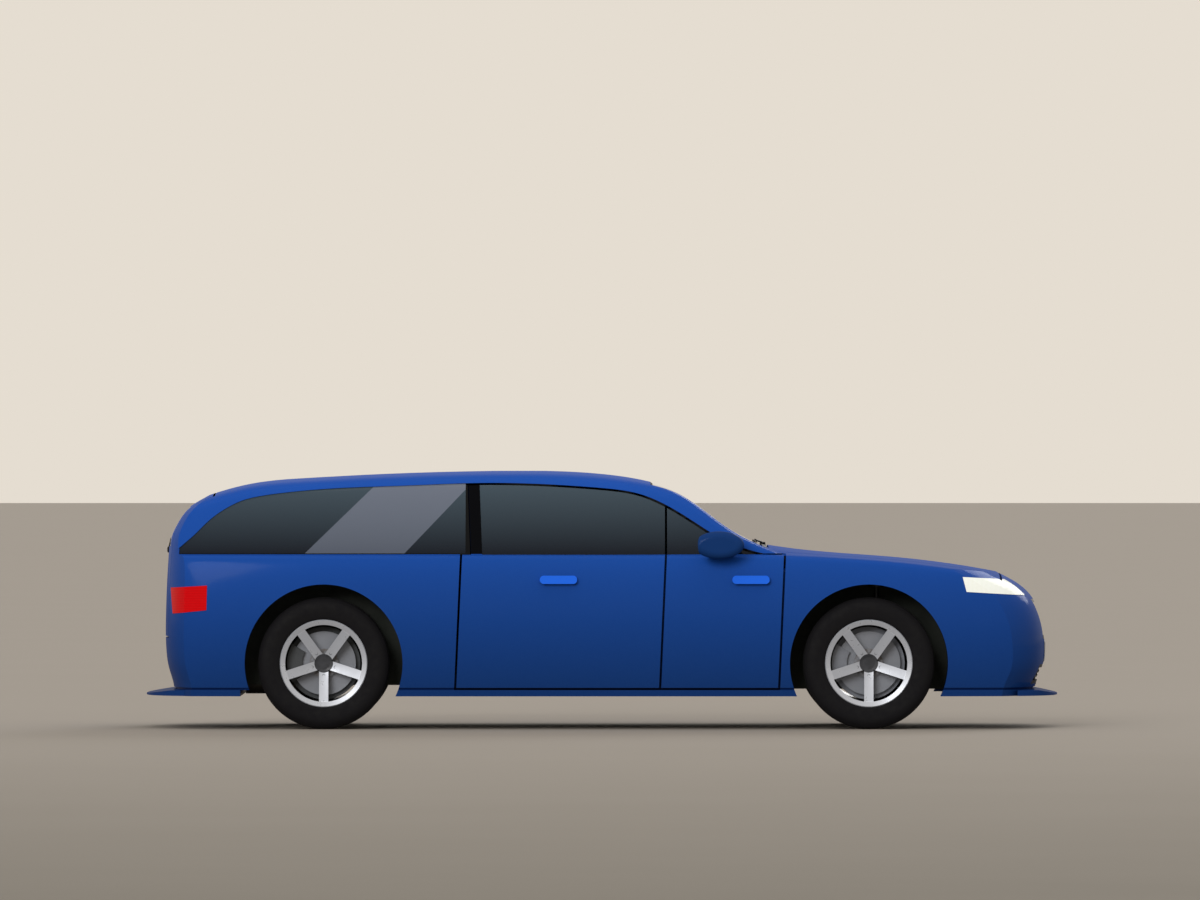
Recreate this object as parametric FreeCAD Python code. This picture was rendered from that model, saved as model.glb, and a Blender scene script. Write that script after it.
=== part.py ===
"""A four-door station wagon at its real size, in millimetres.

+X is forward, +Y is the car's left and +Z is up. The origin is on the ground, under the
middle of the car's length and width. The body is one hollow shell between an outer skin
and inner skins, split into the panels of a real car: sides, doors, roof, bonnet,
tailgate, fenders and bumpers. Each skin is a lower tube, a greenhouse tube on top of
it, and a nose and a tail surface that close the ends. The side outlines (door lines,
windows, lamps, wheel arches, lips) follow the drawing of the car from its right side.
"""

import FreeCAD
import Part
import math
import os

from FreeCAD import Vector
from functools import lru_cache

# Driving dimensions of the whole car
overall_length = 4968.0
overall_height = 1395.0
overall_width = 1850.0
wheelbase = 2946.0
front_axle_x = 1442.0
ground_clearance = 178.0
belt_height = 945.0

# Walls and gaps
side_wall = 60.0
panel_wall = 25.0
bumper_wall = 32.0
roof_wall = 40.0
tailgate_wall = 50.0
moving_gap = 12.0
fixed_gap = 0.3
overrun = 400.0

# Greenhouse
tumblehome_angle = 20.0
glass_thickness = 5.0
glass_recess = 5.0
windscreen_recess = 8.0
roof_crown = 30.0
base_sink = 65.0

# Foot of the body
skirt_height = 34.0
groove_depth = 10.0
sill_depth = 145.0
sill_step_height = 80.0

# Door lines at the belt, which lean back down to the sill
front_door_x = 989.0
middle_door_x = 346.0
rear_door_x = -761.0
door_line_lean = 32.0
glass_seat_depth = 22.0
door_head_gap = 5.0

# Roof, bonnet and tailgate
roof_half_width = 612.0
roof_front_x = 262.0
roof_rear_x = -2104.0
bonnet_rear_x = 905.0
bonnet_front_x = 2170.0
bonnet_rear_half_width = 700.0
bonnet_front_half_width = 640.0
cowl_length = 37.0
tailgate_foot = 500.0

# Bumpers
front_bumper_foot_x = 1895.0
front_bumper_step_height = 560.0
rear_bumper_x = -1955.0
rear_bumper_height = 490.0

# Wheels
tyre_radius = 356.0
tyre_width = 235.0
rim_radius = 237.0
rim_width = 216.0
track = 1566.0
arch_radius = 427.0
kingpin_inset = 75.0

# Places that follow from the sizes above
half_length = overall_length / 2
half_width = overall_width / 2
reach = half_width + overrun
rear_axle_x = front_axle_x - wheelbase
wheel_y = track / 2
kingpin_y = wheel_y - kingpin_inset
axle_height = tyre_radius
skirt_top = ground_clearance + skirt_height
door_foot = skirt_top + moving_gap
sill_inner_y = half_width - sill_depth
roof_split_y = roof_half_width + moving_gap / 2
windscreen_foot_x = bonnet_rear_x - cowl_length


def box(x0, x1, y0, y1, z0, z1):
    """A box between six planes."""
    return Part.makeBox(x1 - x0, y1 - y0, z1 - z0, Vector(x0, y0, z0))


def mirrored(shape):
    """The right-hand twin of a left-hand shape."""
    return shape.mirror(Vector(0, 0, 0), Vector(0, 1, 0))


def both_sides(shape):
    """A left-hand shape with its right-hand twin."""
    return Part.makeCompound([shape, mirrored(shape)])


def united(shapes):
    """Touching solids as one, without seams on flat faces."""
    return shapes[0].fuse(shapes[1:]).removeSplitter()


def largest(shape):
    """The biggest solid of a cut, without crumbs."""
    return max(shape.Solids, key=lambda solid: solid.Volume)


def polygon_face(corners):
    return Part.Face(Part.makePolygon(corners + corners[:1]))


def side_prism(points, y0, y1):
    """A closed outline of (x, z) points, drawn from y0 to y1."""
    face = polygon_face([Vector(x, y0, z) for x, z in points])
    return face.extrude(Vector(0, y1 - y0, 0))


def plan_prism(points, z0, z1):
    """A closed outline of (x, y) points, drawn from z0 to z1."""
    face = polygon_face([Vector(x, y, z0) for x, y in points])
    return face.extrude(Vector(0, 0, z1 - z0))


def front_prism(points, x0, x1):
    """A closed outline of (y, z) points, drawn from x0 to x1."""
    face = polygon_face([Vector(x0, y, z) for y, z in points])
    return face.extrude(Vector(x1 - x0, 0, 0))


def trapezoid(half_base, half_top, foot, head):
    return [(-half_base, foot), (half_base, foot), (half_top, head), (-half_top, head)]


def y_cylinder(radius, x, z, y0, y1):
    """A cylinder along Y."""
    return Part.makeCylinder(radius, y1 - y0, Vector(x, y0, z), Vector(0, 1, 0))


def rod(radius, start, end):
    """A round bar between two points."""
    start, end = Vector(*start), Vector(*end)
    return Part.makeCylinder(radius, (end - start).Length, start, end - start)


def revolved(points, x, z):
    """A profile of (radius, y) points turned about an axle at x, z."""
    face = polygon_face([Vector(x + r, y, z) for r, y in points])
    return face.revolve(Vector(x, 0, z), Vector(0, 1, 0), 360)


def skin_surface(rows, shares):
    """A smooth skin. Each row is a section's control polygon, and the rows are joined along
    the skin by curves that pass through every one of them."""
    columns = []
    for j in range(len(rows[0])):
        curve = Part.BSplineCurve()
        curve.interpolate(Points=[row[j] for row in rows], Parameters=shares)
        columns.append(curve)
    poles = [list(row) for row in zip(*[c.getPoles() for c in columns])]
    count = len(rows[0])
    surface = Part.BSplineSurface()
    surface.buildFromPolesMultsKnots(
        poles,
        columns[0].getMultiplicities(),
        [4] + [1] * (count - 4) + [4],
        columns[0].getKnots(),
        [float(k) for k in range(count - 2)],
        False,
        False,
        3,
        3,
    )
    return surface


def spread_shares(values):
    """Values as shares of their spread, from 0 to 1."""
    return [(v - values[0]) / (values[-1] - values[0]) for v in values]


def solid_under(surface):
    """The solid between a tube's skin and the flat floor that its two long edges lie on."""
    face = surface.toShape()
    first, foot_a, last, foot_b = face.Edges
    ends = []
    for section in (first, last):
        a, b = section.Vertexes[0].Point, section.Vertexes[-1].Point
        ends.append(Part.makeLine(a, b))
    floor = Part.Face(Part.Wire(Part.__sortEdges__([foot_a, ends[0], foot_b, ends[1]])))
    caps = [Part.Face(Part.Wire([s, e])) for s, e in zip((first, last), ends)]
    shell = Part.makeShell([face, floor] + caps)
    shell.sewShape()
    solid = Part.makeSolid(Part.Shell(shell.Faces))
    if solid.Volume < 0:
        solid.reverse()
    return solid


# Lower body: at each station x, the half width, the centre height and the shoulder height
lower_x_shares = [
    -1.047, -0.966, -0.906, -0.845, -0.725, -0.483, -0.201, 0.121, 0.322, 0.403,
    0.523, 0.644, 0.745, 0.825, 0.886, 0.946, 1.027,
]
lower_width_shares = [
    0.690, 0.865, 0.938, 0.968, 0.991, 1.0, 1.0, 1.0, 1.0, 0.999,
    0.997, 0.991, 0.978, 0.951, 0.913, 0.843, 0.692,
]
lower_top_shares = [
    0.682, 0.683, 0.684, 0.685, 0.687, 0.688, 0.689, 0.697, 0.720, 0.701,
    0.679, 0.663, 0.643, 0.621, 0.600, 0.576, 0.538,
]
lower_shoulder_shares = [
    0.996, 0.997, 0.998, 0.998, 0.998, 0.998, 0.998, 0.998, 0.998, 0.995,
    0.980, 0.956, 0.925, 0.894, 0.862, 0.825, 0.767,
]
# The section's control polygon: shares of the half width, and of the height from the
# foot to the shoulder, then from the shoulder to the centre
side_width_shares = [0.972, 0.982, 1.0, 1.004, 0.996, 0.982, 0.962]
side_height_shares = [0.0, 0.10, 0.32, 0.60, 0.82, 0.955, 1.0]
deck_width_shares = [0.90, 0.62, 0.25]
deck_height_shares = [0.06, 0.75, 1.0]


@lru_cache(maxsize=None)
def lower_tube(side_inset, top_inset):
    """The lower body under the belt line, taken in by the insets."""
    foot = ground_clearance + top_inset
    rows = []
    for i, share in enumerate(lower_x_shares):
        x = share * half_length
        width = lower_width_shares[i] * half_width - side_inset
        shoulder = lower_shoulder_shares[i] * belt_height - top_inset
        top = lower_top_shares[i] * overall_height - top_inset
        half = [
            Vector(x, width * w, foot + (shoulder - foot) * h)
            for w, h in zip(side_width_shares, side_height_shares)
        ]
        half += [
            Vector(x, width * w, shoulder + (top - shoulder) * h)
            for w, h in zip(deck_width_shares, deck_height_shares)
        ]
        rows.append([Vector(p.x, -p.y, p.z) for p in half] + half[::-1])
    return solid_under(skin_surface(rows, spread_shares(lower_x_shares)))


# Greenhouse: at each station x, the half width at the belt, the roof height and the crown
upper_x_shares = [
    -1.047, -0.966, -0.906, -0.845, -0.765, -0.644, -0.483, -0.242, 0.0, 0.085,
    0.126, 0.169, 0.213, 0.256, 0.300, 0.343, 0.387, 0.423,
]
upper_width_shares = [
    0.700, 0.805, 0.849, 0.871, 0.893, 0.912, 0.923, 0.929, 0.930, 0.930,
    0.930, 0.930, 0.930, 0.930, 0.929, 0.927, 0.923, 0.916,
]
upper_top_shares = [
    0.792, 0.844, 0.879, 0.916, 0.952, 0.973, 0.988, 1.0, 0.988, 0.966,
    0.948, 0.918, 0.867, 0.809, 0.758, 0.721, 0.690, 0.668,
]
upper_crown_shares = [
    1.0, 1.0, 1.0, 1.0, 1.0, 1.0, 1.0, 1.0, 1.0, 0.85,
    0.65, 0.5, 0.47, 0.47, 0.47, 0.47, 0.47, 0.47,
]
upper_side_shares = [0.0, 0.35, 0.80, 1.0]
roof_width_shares = [0.85, 0.50, 0.17]
roof_height_shares = [0.60, 0.92, 1.0]


@lru_cache(maxsize=None)
def upper_tube(inset):
    """The greenhouse above the belt line, taken in by the inset."""
    lean = math.tan(math.radians(tumblehome_angle))
    side_inset = inset / math.cos(math.radians(tumblehome_angle))
    foot = belt_height - base_sink - inset
    rows = []
    for i, share in enumerate(upper_x_shares):
        x = share * half_length
        top = upper_top_shares[i] * overall_height - inset
        corner = top - upper_crown_shares[i] * roof_crown
        width = upper_width_shares[i] * half_width - side_inset
        half = []
        for h in upper_side_shares:
            z = foot + (corner - foot) * h
            half.append(Vector(x, width - (z - belt_height) * lean, z))
        edge = half[-1].y
        half += [
            Vector(x, edge * w, corner + (top - corner) * h)
            for w, h in zip(roof_width_shares, roof_height_shares)
        ]
        rows.append([Vector(p.x, -p.y, p.z) for p in half] + half[::-1])
    return solid_under(skin_surface(rows, spread_shares(upper_x_shares)))


# Nose and tail: x against height, and how far the ends bow back across the width
nose_z_shares = [
    0.072, 0.128, 0.166, 0.229, 0.306, 0.387, 0.459, 0.519, 0.563, 0.608,
    0.681, 0.824, 1.075,
]
nose_x_shares = [
    0.940, 0.947, 0.953, 0.967, 0.9725, 0.970, 0.959, 0.940, 0.912, 0.865,
    0.777, 0.604, 0.282,
]
tail_z_shares = [
    0.072, 0.128, 0.166, 0.229, 0.306, 0.461, 0.577, 0.654, 0.705, 0.746,
    0.778, 0.809, 0.840, 0.871, 0.894, 0.932, 1.075,
]
tail_x_shares = [
    0.938, 0.939, 0.940, 0.950, 0.9565, 0.957, 0.9545, 0.952, 0.950, 0.9465,
    0.939, 0.929, 0.9165, 0.896, 0.874, 0.835, 0.685,
]
end_width_shares = [0.27, 0.60, 0.81, 0.973, 1.19]
nose_bow_shares = [0.0, 0.014, 0.044, 0.097, 0.209]
tail_bow_shares = [0.0, 0.007, 0.021, 0.050, 0.130]


def end_cutter(z_shares, x_shares, bow_shares, sign, inset):
    """All that lies behind the nose (sign 1) or ahead of the tail (sign -1)."""
    rows = []
    for z_share, x_share in zip(z_shares, x_shares):
        z = z_share * overall_height
        tip = x_share * half_length - inset
        half = [
            Vector(sign * (tip - b * half_length), w * half_width, z)
            for w, b in zip(end_width_shares, bow_shares)
        ]
        rows.append([Vector(p.x, -p.y, p.z) for p in half[::-1]] + half)
    face = skin_surface(rows, spread_shares(z_shares)).toShape()
    block = face.extrude(Vector(-sign * (overall_length + overrun), 0, 0))
    if block.Volume < 0:
        block.reverse()
    return block


@lru_cache(maxsize=None)
def nose_cutter(inset):
    return end_cutter(nose_z_shares, nose_x_shares, nose_bow_shares, 1, inset)


@lru_cache(maxsize=None)
def tail_cutter(inset):
    return end_cutter(tail_z_shares, tail_x_shares, tail_bow_shares, -1, inset)


@lru_cache(maxsize=None)
def skin(inset):
    """The whole body inside one skin."""
    tubes = lower_tube(inset, inset).fuse(upper_tube(inset))
    return tubes.common(nose_cutter(inset)).common(tail_cutter(inset))


def wall_between(outer, inner, region):
    """The wall between two skins inside a region."""
    return skin(outer).common(region).cut(skin(inner))


def left_part(shape, y):
    """What lies on the car's left, beyond y."""
    return shape.common(box(-half_length, half_length, y, reach, 0, overall_height))


# Doors and side windows


def door_line(x, z):
    """Where a door line that is at x on the belt stands at height z."""
    return x - door_line_lean * (belt_height - z) / (belt_height - door_foot)


def door_outline(front_x, rear_x, foot, head):
    return [
        (door_line(front_x, foot), foot),
        (door_line(front_x, head), head),
        (door_line(rear_x, head), head),
        (door_line(rear_x, foot), foot),
    ]


# Upper edge of the side windows, from the rear tip to the front tip
window_x_shares = [
    -0.936, -0.912, -0.888, -0.865, -0.839, -0.813, -0.787, -0.735, -0.657, -0.570,
    -0.439, -0.265, -0.091, -0.004, 0.083, 0.126, 0.169, 0.213, 0.256, 0.300, 0.357,
]
window_z_shares = [
    0.6775, 0.716, 0.753, 0.794, 0.833, 0.862, 0.884, 0.906, 0.923, 0.9345,
    0.943, 0.954, 0.946, 0.935, 0.911, 0.881, 0.839, 0.789, 0.742, 0.707, 0.679,
]


def window_prism(inset, foot, x0, x1):
    """The side windows' outline between x0 and x1, moved in by the inset."""
    edge = [
        Vector(sx * half_length, 0, sz * overall_height)
        for sx, sz in zip(window_x_shares, window_z_shares)
    ]
    points = []
    for i, point in enumerate(edge):
        along = edge[min(i + 1, len(edge) - 1)] - edge[max(i - 1, 0)]
        inward = Vector(along.z, 0, -along.x).normalize()
        points.append(point + inward * inset)
    curve = Part.BSplineCurve()
    curve.interpolate(points)
    start, end = points[0], points[-1]
    low = belt_height - base_sink
    low_start, low_end = Vector(start.x, 0, low), Vector(end.x, 0, low)
    edges = [
        Part.makeLine(low_start, start),
        curve.toShape(),
        Part.makeLine(end, low_end),
        Part.makeLine(low_end, low_start),
    ]
    prism = Part.Face(Part.Wire(edges)).extrude(Vector(0, reach, 0))
    return prism.common(box(x0, x1, 0, reach, foot, overall_height))


@lru_cache(maxsize=None)
def glass_sheet(outer, thickness):
    """A sheet that follows the greenhouse."""
    return upper_tube(outer).cut(upper_tube(outer + thickness))


def door_panel(front_x, rear_x):
    """A door below the glass: a wall as thick as the whole door."""
    outline = door_outline(front_x, rear_x, door_foot, belt_height + base_sink)
    region = side_prism(outline, half_width / 2, reach)
    return lower_tube(0, 0).common(region).cut(lower_tube(side_wall, -base_sink * 2))


handle_length = 200.0
handle_height = 42.0
handle_lift = 16.0
handle_thickness = 14.0
handle_foot_length = 34.0
handle_foot_height = 26.0
handle_sink = 4.0
handle_z = 807.0
front_handle_x = 805.0
rear_handle_x = -235.0


def door_handle(x):
    """A pull handle that follows the door and stands off it on two feet."""
    low, high = handle_z - handle_height / 2, handle_z + handle_height / 2
    outer = handle_lift + handle_thickness
    end = handle_height / 2
    span = box(
        x - handle_length / 2 + end,
        x + handle_length / 2 - end,
        half_width / 2,
        reach,
        low,
        high,
    )
    ends = [
        y_cylinder(end, x + side * (handle_length / 2 - end), handle_z, half_width / 2, reach)
        for side in (-1, 1)
    ]
    grip_region = span.fuse(ends)
    grip = lower_tube(-outer, 0).common(grip_region).cut(lower_tube(-handle_lift, 0))
    feet = []
    for side in (-1, 1):
        middle = x + side * (handle_length - handle_foot_length) / 2
        region = box(
            middle - handle_foot_length / 2,
            middle + handle_foot_length / 2,
            half_width / 2,
            reach,
            handle_z - handle_foot_height / 2,
            handle_z + handle_foot_height / 2,
        )
        foot = lower_tube(-handle_lift - handle_sink, 0).common(region)
        feet.append(foot.cut(lower_tube(handle_sink, 0)))
    return [grip] + feet


# Divider bar at the rear edge of the rear door's glass
bar_top_x = -666.0
bar_foot_x = -647.0
bar_width = 60.0
bar_depth = 10.0


def bar_region(front_shift, rear_shift):
    """The divider bar's place in the side view, between two shifted edges."""
    seat = belt_height - glass_seat_depth
    points = [
        (bar_foot_x + front_shift, seat),
        (bar_top_x + front_shift, overall_height),
        (bar_top_x + rear_shift, overall_height),
        (bar_foot_x + rear_shift, seat),
    ]
    return side_prism(points, half_width / 2, reach)


def make_front_door():
    """The left front door and its glass, which stands in a slot in the door's head."""
    front_x = front_door_x - moving_gap / 2
    rear_x = middle_door_x + moving_gap / 2
    seat = belt_height - glass_seat_depth
    outline = window_prism(moving_gap, seat - moving_gap, rear_x, half_length)
    room = glass_sheet(glass_recess - fixed_gap, glass_thickness + 2 * fixed_gap)
    panel = door_panel(front_x, rear_x).cut(room.common(outline))
    door = panel.fuse(door_handle(front_handle_x))
    glass = glass_sheet(glass_recess, glass_thickness).common(outline)
    return largest(door), largest(left_part(glass, half_width / 2))


def make_rear_door():
    """The left rear door with its divider bar, and its glass."""
    front_x = middle_door_x - moving_gap / 2
    rear_x = rear_door_x + moving_gap / 2
    seat = belt_height - glass_seat_depth
    outline = window_prism(moving_gap, seat - moving_gap, -half_length, front_x)
    bar = glass_sheet(glass_recess / 2, bar_depth).common(outline)
    bar = bar.common(bar_region(0, -bar_width))
    outline = outline.common(bar_region(overrun * 3, fixed_gap))
    room = glass_sheet(glass_recess - fixed_gap, glass_thickness + 2 * fixed_gap)
    panel = door_panel(front_x, rear_x).cut(room.common(outline))
    door = panel.fuse([bar] + door_handle(rear_handle_x))
    glass = glass_sheet(glass_recess, glass_thickness).common(outline)
    return largest(door), largest(left_part(glass, half_width / 2))


# Fixed sides of the body

post_gap = 12.0
post_depth = 38.0
post_step = 200.0
middle_post_width = 95.0
front_post_width = 90.0


def arch_drum(x):
    return y_cylinder(arch_radius, x, axle_height, roof_half_width, reach)


def skirt_groove(x0, x1, y0):
    """The thin line that runs round the foot of the body."""
    return box(x0, x1, y0, reach, skirt_top, door_foot).cut(skin(groove_depth))


def door_opening():
    """The holes that the doors and their glass fill, with the gap round them."""
    foot, head = skirt_top, belt_height + door_head_gap
    front_x, rear_x = front_door_x + moving_gap / 2, rear_door_x - moving_gap / 2
    inner_y = half_width - side_wall * 2 - post_depth
    panel = side_prism(door_outline(front_x, rear_x, foot, head), inner_y, reach)
    bar_rear_x = bar_top_x - bar_width - moving_gap
    glass = window_prism(0, belt_height - glass_seat_depth, bar_rear_x, half_length)
    return panel.fuse(glass)


def post(rear_x, front_x):
    """A body post behind the doors, from the sill to the roof."""
    low = box(rear_x, front_x, sill_inner_y, half_width, skirt_top, belt_height - post_step)
    high = box(
        rear_x, front_x, roof_split_y, half_width, belt_height - post_step, overall_height
    )
    inner = side_wall + post_gap + post_depth
    return skin(side_wall - post_gap).common(low.fuse(high)).cut(skin(inner))


def make_body_side():
    """The left side of the body: sill, rear quarter, pillars and roof rail."""
    low = box(-half_length, bonnet_rear_x, sill_inner_y, reach, skirt_top, rear_bumper_height)
    high = box(
        -half_length, bonnet_rear_x, roof_split_y, reach, rear_bumper_height, overall_height
    )
    shell = wall_between(0, side_wall, low.fuse(high))
    hole = door_opening()
    posts = [
        post(middle_door_x - middle_post_width / 2, middle_door_x + middle_post_width / 2),
        post(bonnet_rear_x - moving_gap, bonnet_rear_x + front_post_width),
    ]
    outside = hole.cut(skin(side_wall + post_gap))
    sill = skin(0).common(
        box(rear_axle_x, front_axle_x, sill_inner_y, reach, ground_clearance, skirt_top)
    )
    housing_reach = arch_radius + housing_gap + housing_wall + fixed_gap
    step = box(
        rear_axle_x + housing_reach,
        front_axle_x - housing_reach,
        sill_inner_y,
        half_width - side_wall - moving_gap * 3,
        skirt_top - skirt_height / 2,
        skirt_top + sill_step_height,
    )
    side = shell.cut(hole).fuse([sill, step] + [p.cut(outside) for p in posts])
    side = side.cut(arch_drum(rear_axle_x)).cut(arch_drum(front_axle_x))
    side = side.cut(rear_bumper_zone()).cut(windscreen_zone(0)).cut(cowl_zone(0))
    side = side.cut(lamp_zone(tail_lamp_outline, 0).cut(skin(lamp_depth + fixed_gap)))
    quarter_x = bar_top_x - bar_width - moving_gap
    side = side.cut(window_prism(0, belt_height, -half_length, quarter_x))
    side = side.cut(skirt_groove(-half_length, rear_door_x, roof_split_y))
    return largest(side)


def make_quarter_window():
    """The fixed side window behind the doors."""
    quarter_x = bar_top_x - bar_width - moving_gap
    outline = window_prism(fixed_gap, belt_height, -half_length, quarter_x)
    glass = glass_sheet(glass_recess, glass_thickness).common(outline)
    glass = glass.common(tail_cutter(glass_recess))
    glass = glass.common(
        box(-half_length, half_length, 0, reach, belt_height + door_head_gap, overall_height)
    )
    return largest(left_part(glass, half_width / 2))


# Lamps

lamp_inner_y = 560.0
lamp_depth = 26.0
lamp_proud = 3.0
head_lamp_x_shares = [0.7930, 0.7845, 0.9370, 0.9280]
head_lamp_z_shares = [0.532, 0.590, 0.574, 0.517]
tail_lamp_x_shares = [-0.9410, -0.8590, -0.8605, -0.9360]
tail_lamp_z_shares = [0.548, 0.557, 0.461, 0.447]


def lamp_outline(x_shares, z_shares):
    return [(x * half_length, z * overall_height) for x, z in zip(x_shares, z_shares)]


head_lamp_outline = lamp_outline(head_lamp_x_shares, head_lamp_z_shares)
tail_lamp_outline = lamp_outline(tail_lamp_x_shares, tail_lamp_z_shares)


def lamp_zone(outline, inset):
    """A lamp's outline drawn across the corner of the car, moved in by the inset."""
    face = polygon_face([Vector(x, lamp_inner_y + inset, z) for x, z in outline])
    if inset:
        face = face.makeOffset2D(-inset)
    return face.extrude(Vector(0, reach, 0))


def make_lamp(outline, inner_y):
    """A lamp that wraps round a corner of the car."""
    lamp = skin(-lamp_proud).common(lamp_zone(outline, fixed_gap)).cut(skin(lamp_depth))
    return largest(left_part(lamp.cut(bonnet_zone(moving_gap)), inner_y + fixed_gap))


# Windscreen, cowl, roof, bonnet, fender

windscreen_top_half_width = 652.0
windscreen_foot_half_width = 772.0


def windscreen_zone(inset):
    """The windscreen's opening seen from above, moved in by the inset."""
    points = [
        (roof_front_x + inset, windscreen_top_half_width - inset),
        (windscreen_foot_x - inset, windscreen_foot_half_width - inset),
        (windscreen_foot_x - inset, inset - windscreen_foot_half_width),
        (roof_front_x + inset, inset - windscreen_top_half_width),
    ]
    return plan_prism(points, belt_height - side_wall, overall_height)


def cowl_zone(inset):
    """The strip between the windscreen and the bonnet, moved in by the inset."""
    half = windscreen_foot_half_width - inset
    rear_x, front_x = windscreen_foot_x, bonnet_rear_x - moving_gap
    return box(rear_x, front_x, -half, half, belt_height - side_wall, overall_height)


def make_windscreen():
    sheet = glass_sheet(windscreen_recess, glass_thickness)
    return largest(sheet.common(windscreen_zone(fixed_gap)))


def make_cowl():
    return largest(wall_between(0, panel_wall, cowl_zone(fixed_gap)))


def make_roof():
    region = box(
        roof_rear_x + moving_gap / 2,
        roof_front_x,
        -roof_split_y,
        roof_split_y,
        belt_height,
        overall_height,
    )
    return largest(wall_between(0, roof_wall, region))


def bonnet_zone(gap):
    """The bonnet's place seen from above, with a gap at its sides and its front."""
    rear_half = bonnet_rear_half_width + gap
    front_half = bonnet_front_half_width + gap
    front_x = bonnet_front_x - moving_gap + gap
    outline = [
        (bonnet_rear_x, rear_half),
        (front_x, front_half),
        (front_x, -front_half),
        (bonnet_rear_x, -rear_half),
    ]
    return plan_prism(outline, 0, overall_height)


def make_bonnet():
    high = box(0, half_length, -half_width, half_width, front_bumper_step_height, overall_height)
    return largest(wall_between(0, panel_wall, bonnet_zone(0).common(high)))


def make_fender():
    """The left fender, with the deck beside the bonnet and its foot ahead of the wheel."""
    rear = box(bonnet_rear_x, bonnet_front_x, 0, reach, skirt_top, overall_height)
    wing = wall_between(0, panel_wall, rear.cut(bonnet_zone(moving_gap)))
    foot = skin(0).common(
        box(front_axle_x, front_bumper_foot_x, sill_inner_y, reach, ground_clearance, skirt_top)
    )
    fender = wing.fuse(foot).cut(front_bumper_zone())
    fender = fender.cut(arch_drum(front_axle_x)).cut(door_opening())
    fender = fender.cut(lamp_zone(head_lamp_outline, 0).cut(skin(lamp_depth + fixed_gap)))
    return largest(fender.cut(skirt_groove(bonnet_rear_x, half_length, 0)))


# Bumpers, lips and grilles

lip_length = 119.0
lip_tip_height = 9.0
lip_root_height = 30.0
lip_plan_x_shares = [1.0, 0.994, 0.972, 0.928, 0.868]
lip_plan_y_shares = [0.0, 0.35, 0.62, 0.80, 0.885]


def lip(root_x):
    """A thin lip that stands out at the foot of the front bumper."""
    profile = [
        (root_x - lip_length, ground_clearance),
        (root_x - lip_length, ground_clearance + lip_root_height),
        (root_x, ground_clearance + lip_root_height),
        (half_length, ground_clearance + lip_tip_height),
        (half_length, ground_clearance),
    ]
    half = [
        Vector(half_length * x, half_width * y, 0)
        for x, y in zip(lip_plan_x_shares, lip_plan_y_shares)
    ]
    curve = Part.BSplineCurve()
    curve.interpolate([Vector(p.x, -p.y, 0) for p in half[::-1]] + half[1:])
    back = Part.makeLine(half[-1], Vector(half[-1].x, -half[-1].y, 0))
    plan = Part.Face(Part.Wire([curve.toShape(), back])).extrude(Vector(0, 0, reach))
    return side_prism(profile, -half_width, half_width).common(plan)


def rear_bumper_zone():
    return box(-half_length, rear_bumper_x, -reach, reach, 0, rear_bumper_height)


def front_bumper_zone():
    """All that lies ahead of the front bumper's rear edge."""
    (foot_x, foot_z), (head_x, head_z) = head_lamp_outline[0], head_lamp_outline[1]
    points = [
        (front_bumper_foot_x, 0),
        (front_bumper_foot_x, front_bumper_step_height),
        (foot_x, foot_z),
        (bonnet_front_x, foot_z),
        (bonnet_front_x, overall_height),
        (half_length, overall_height),
        (half_length, 0),
    ]
    return side_prism(points, -reach, reach)


def make_front_bumper():
    wall = wall_between(0, bumper_wall, front_bumper_zone())
    wall = wall.cut(opening_prism(grille_opening, 0)).cut(opening_prism(intake_opening, 0))
    lamp = lamp_zone(head_lamp_outline, 0).cut(skin(lamp_depth + fixed_gap))
    groove = skirt_groove(bonnet_rear_x, half_length, -reach)
    wall = wall.cut([lamp, mirrored(lamp), groove])
    return largest(wall.fuse(lip(nose_x_shares[2] * half_length)))


def make_rear_bumper():
    wall = wall_between(0, bumper_wall, rear_bumper_zone())
    wall = wall.cut(skirt_groove(-half_length, rear_bumper_x, -reach))
    ledge = lip(tail_x_shares[2] * half_length)
    return largest(wall.fuse(ledge.mirror(Vector(0, 0, 0), Vector(1, 0, 0))))


grille_half_width = 430.0
grille_foot = 480.0
grille_head = 700.0
grille_bar_count = 6
intake_half_width = 560.0
intake_foot = 240.0
intake_head = 345.0
intake_bar_count = 2
grille_frame = 18.0
grille_bar_height = 11.0
grille_bar_proud = 2.0
grille_stand_count = 5
grille_stand_width = 9.0
grille_base_share = 0.86
grille_opening = (
    grille_half_width * grille_base_share, grille_half_width, grille_foot, grille_head
)
intake_opening = (
    intake_half_width, intake_half_width * grille_base_share, intake_foot, intake_head
)


def opening_prism(opening, inset):
    """An opening in the front bumper, moved in by the inset."""
    half_base, half_top, foot, head = opening
    points = trapezoid(half_base - inset, half_top - inset, foot + inset, head - inset)
    return front_prism(points, bonnet_front_x, half_length)


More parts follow.
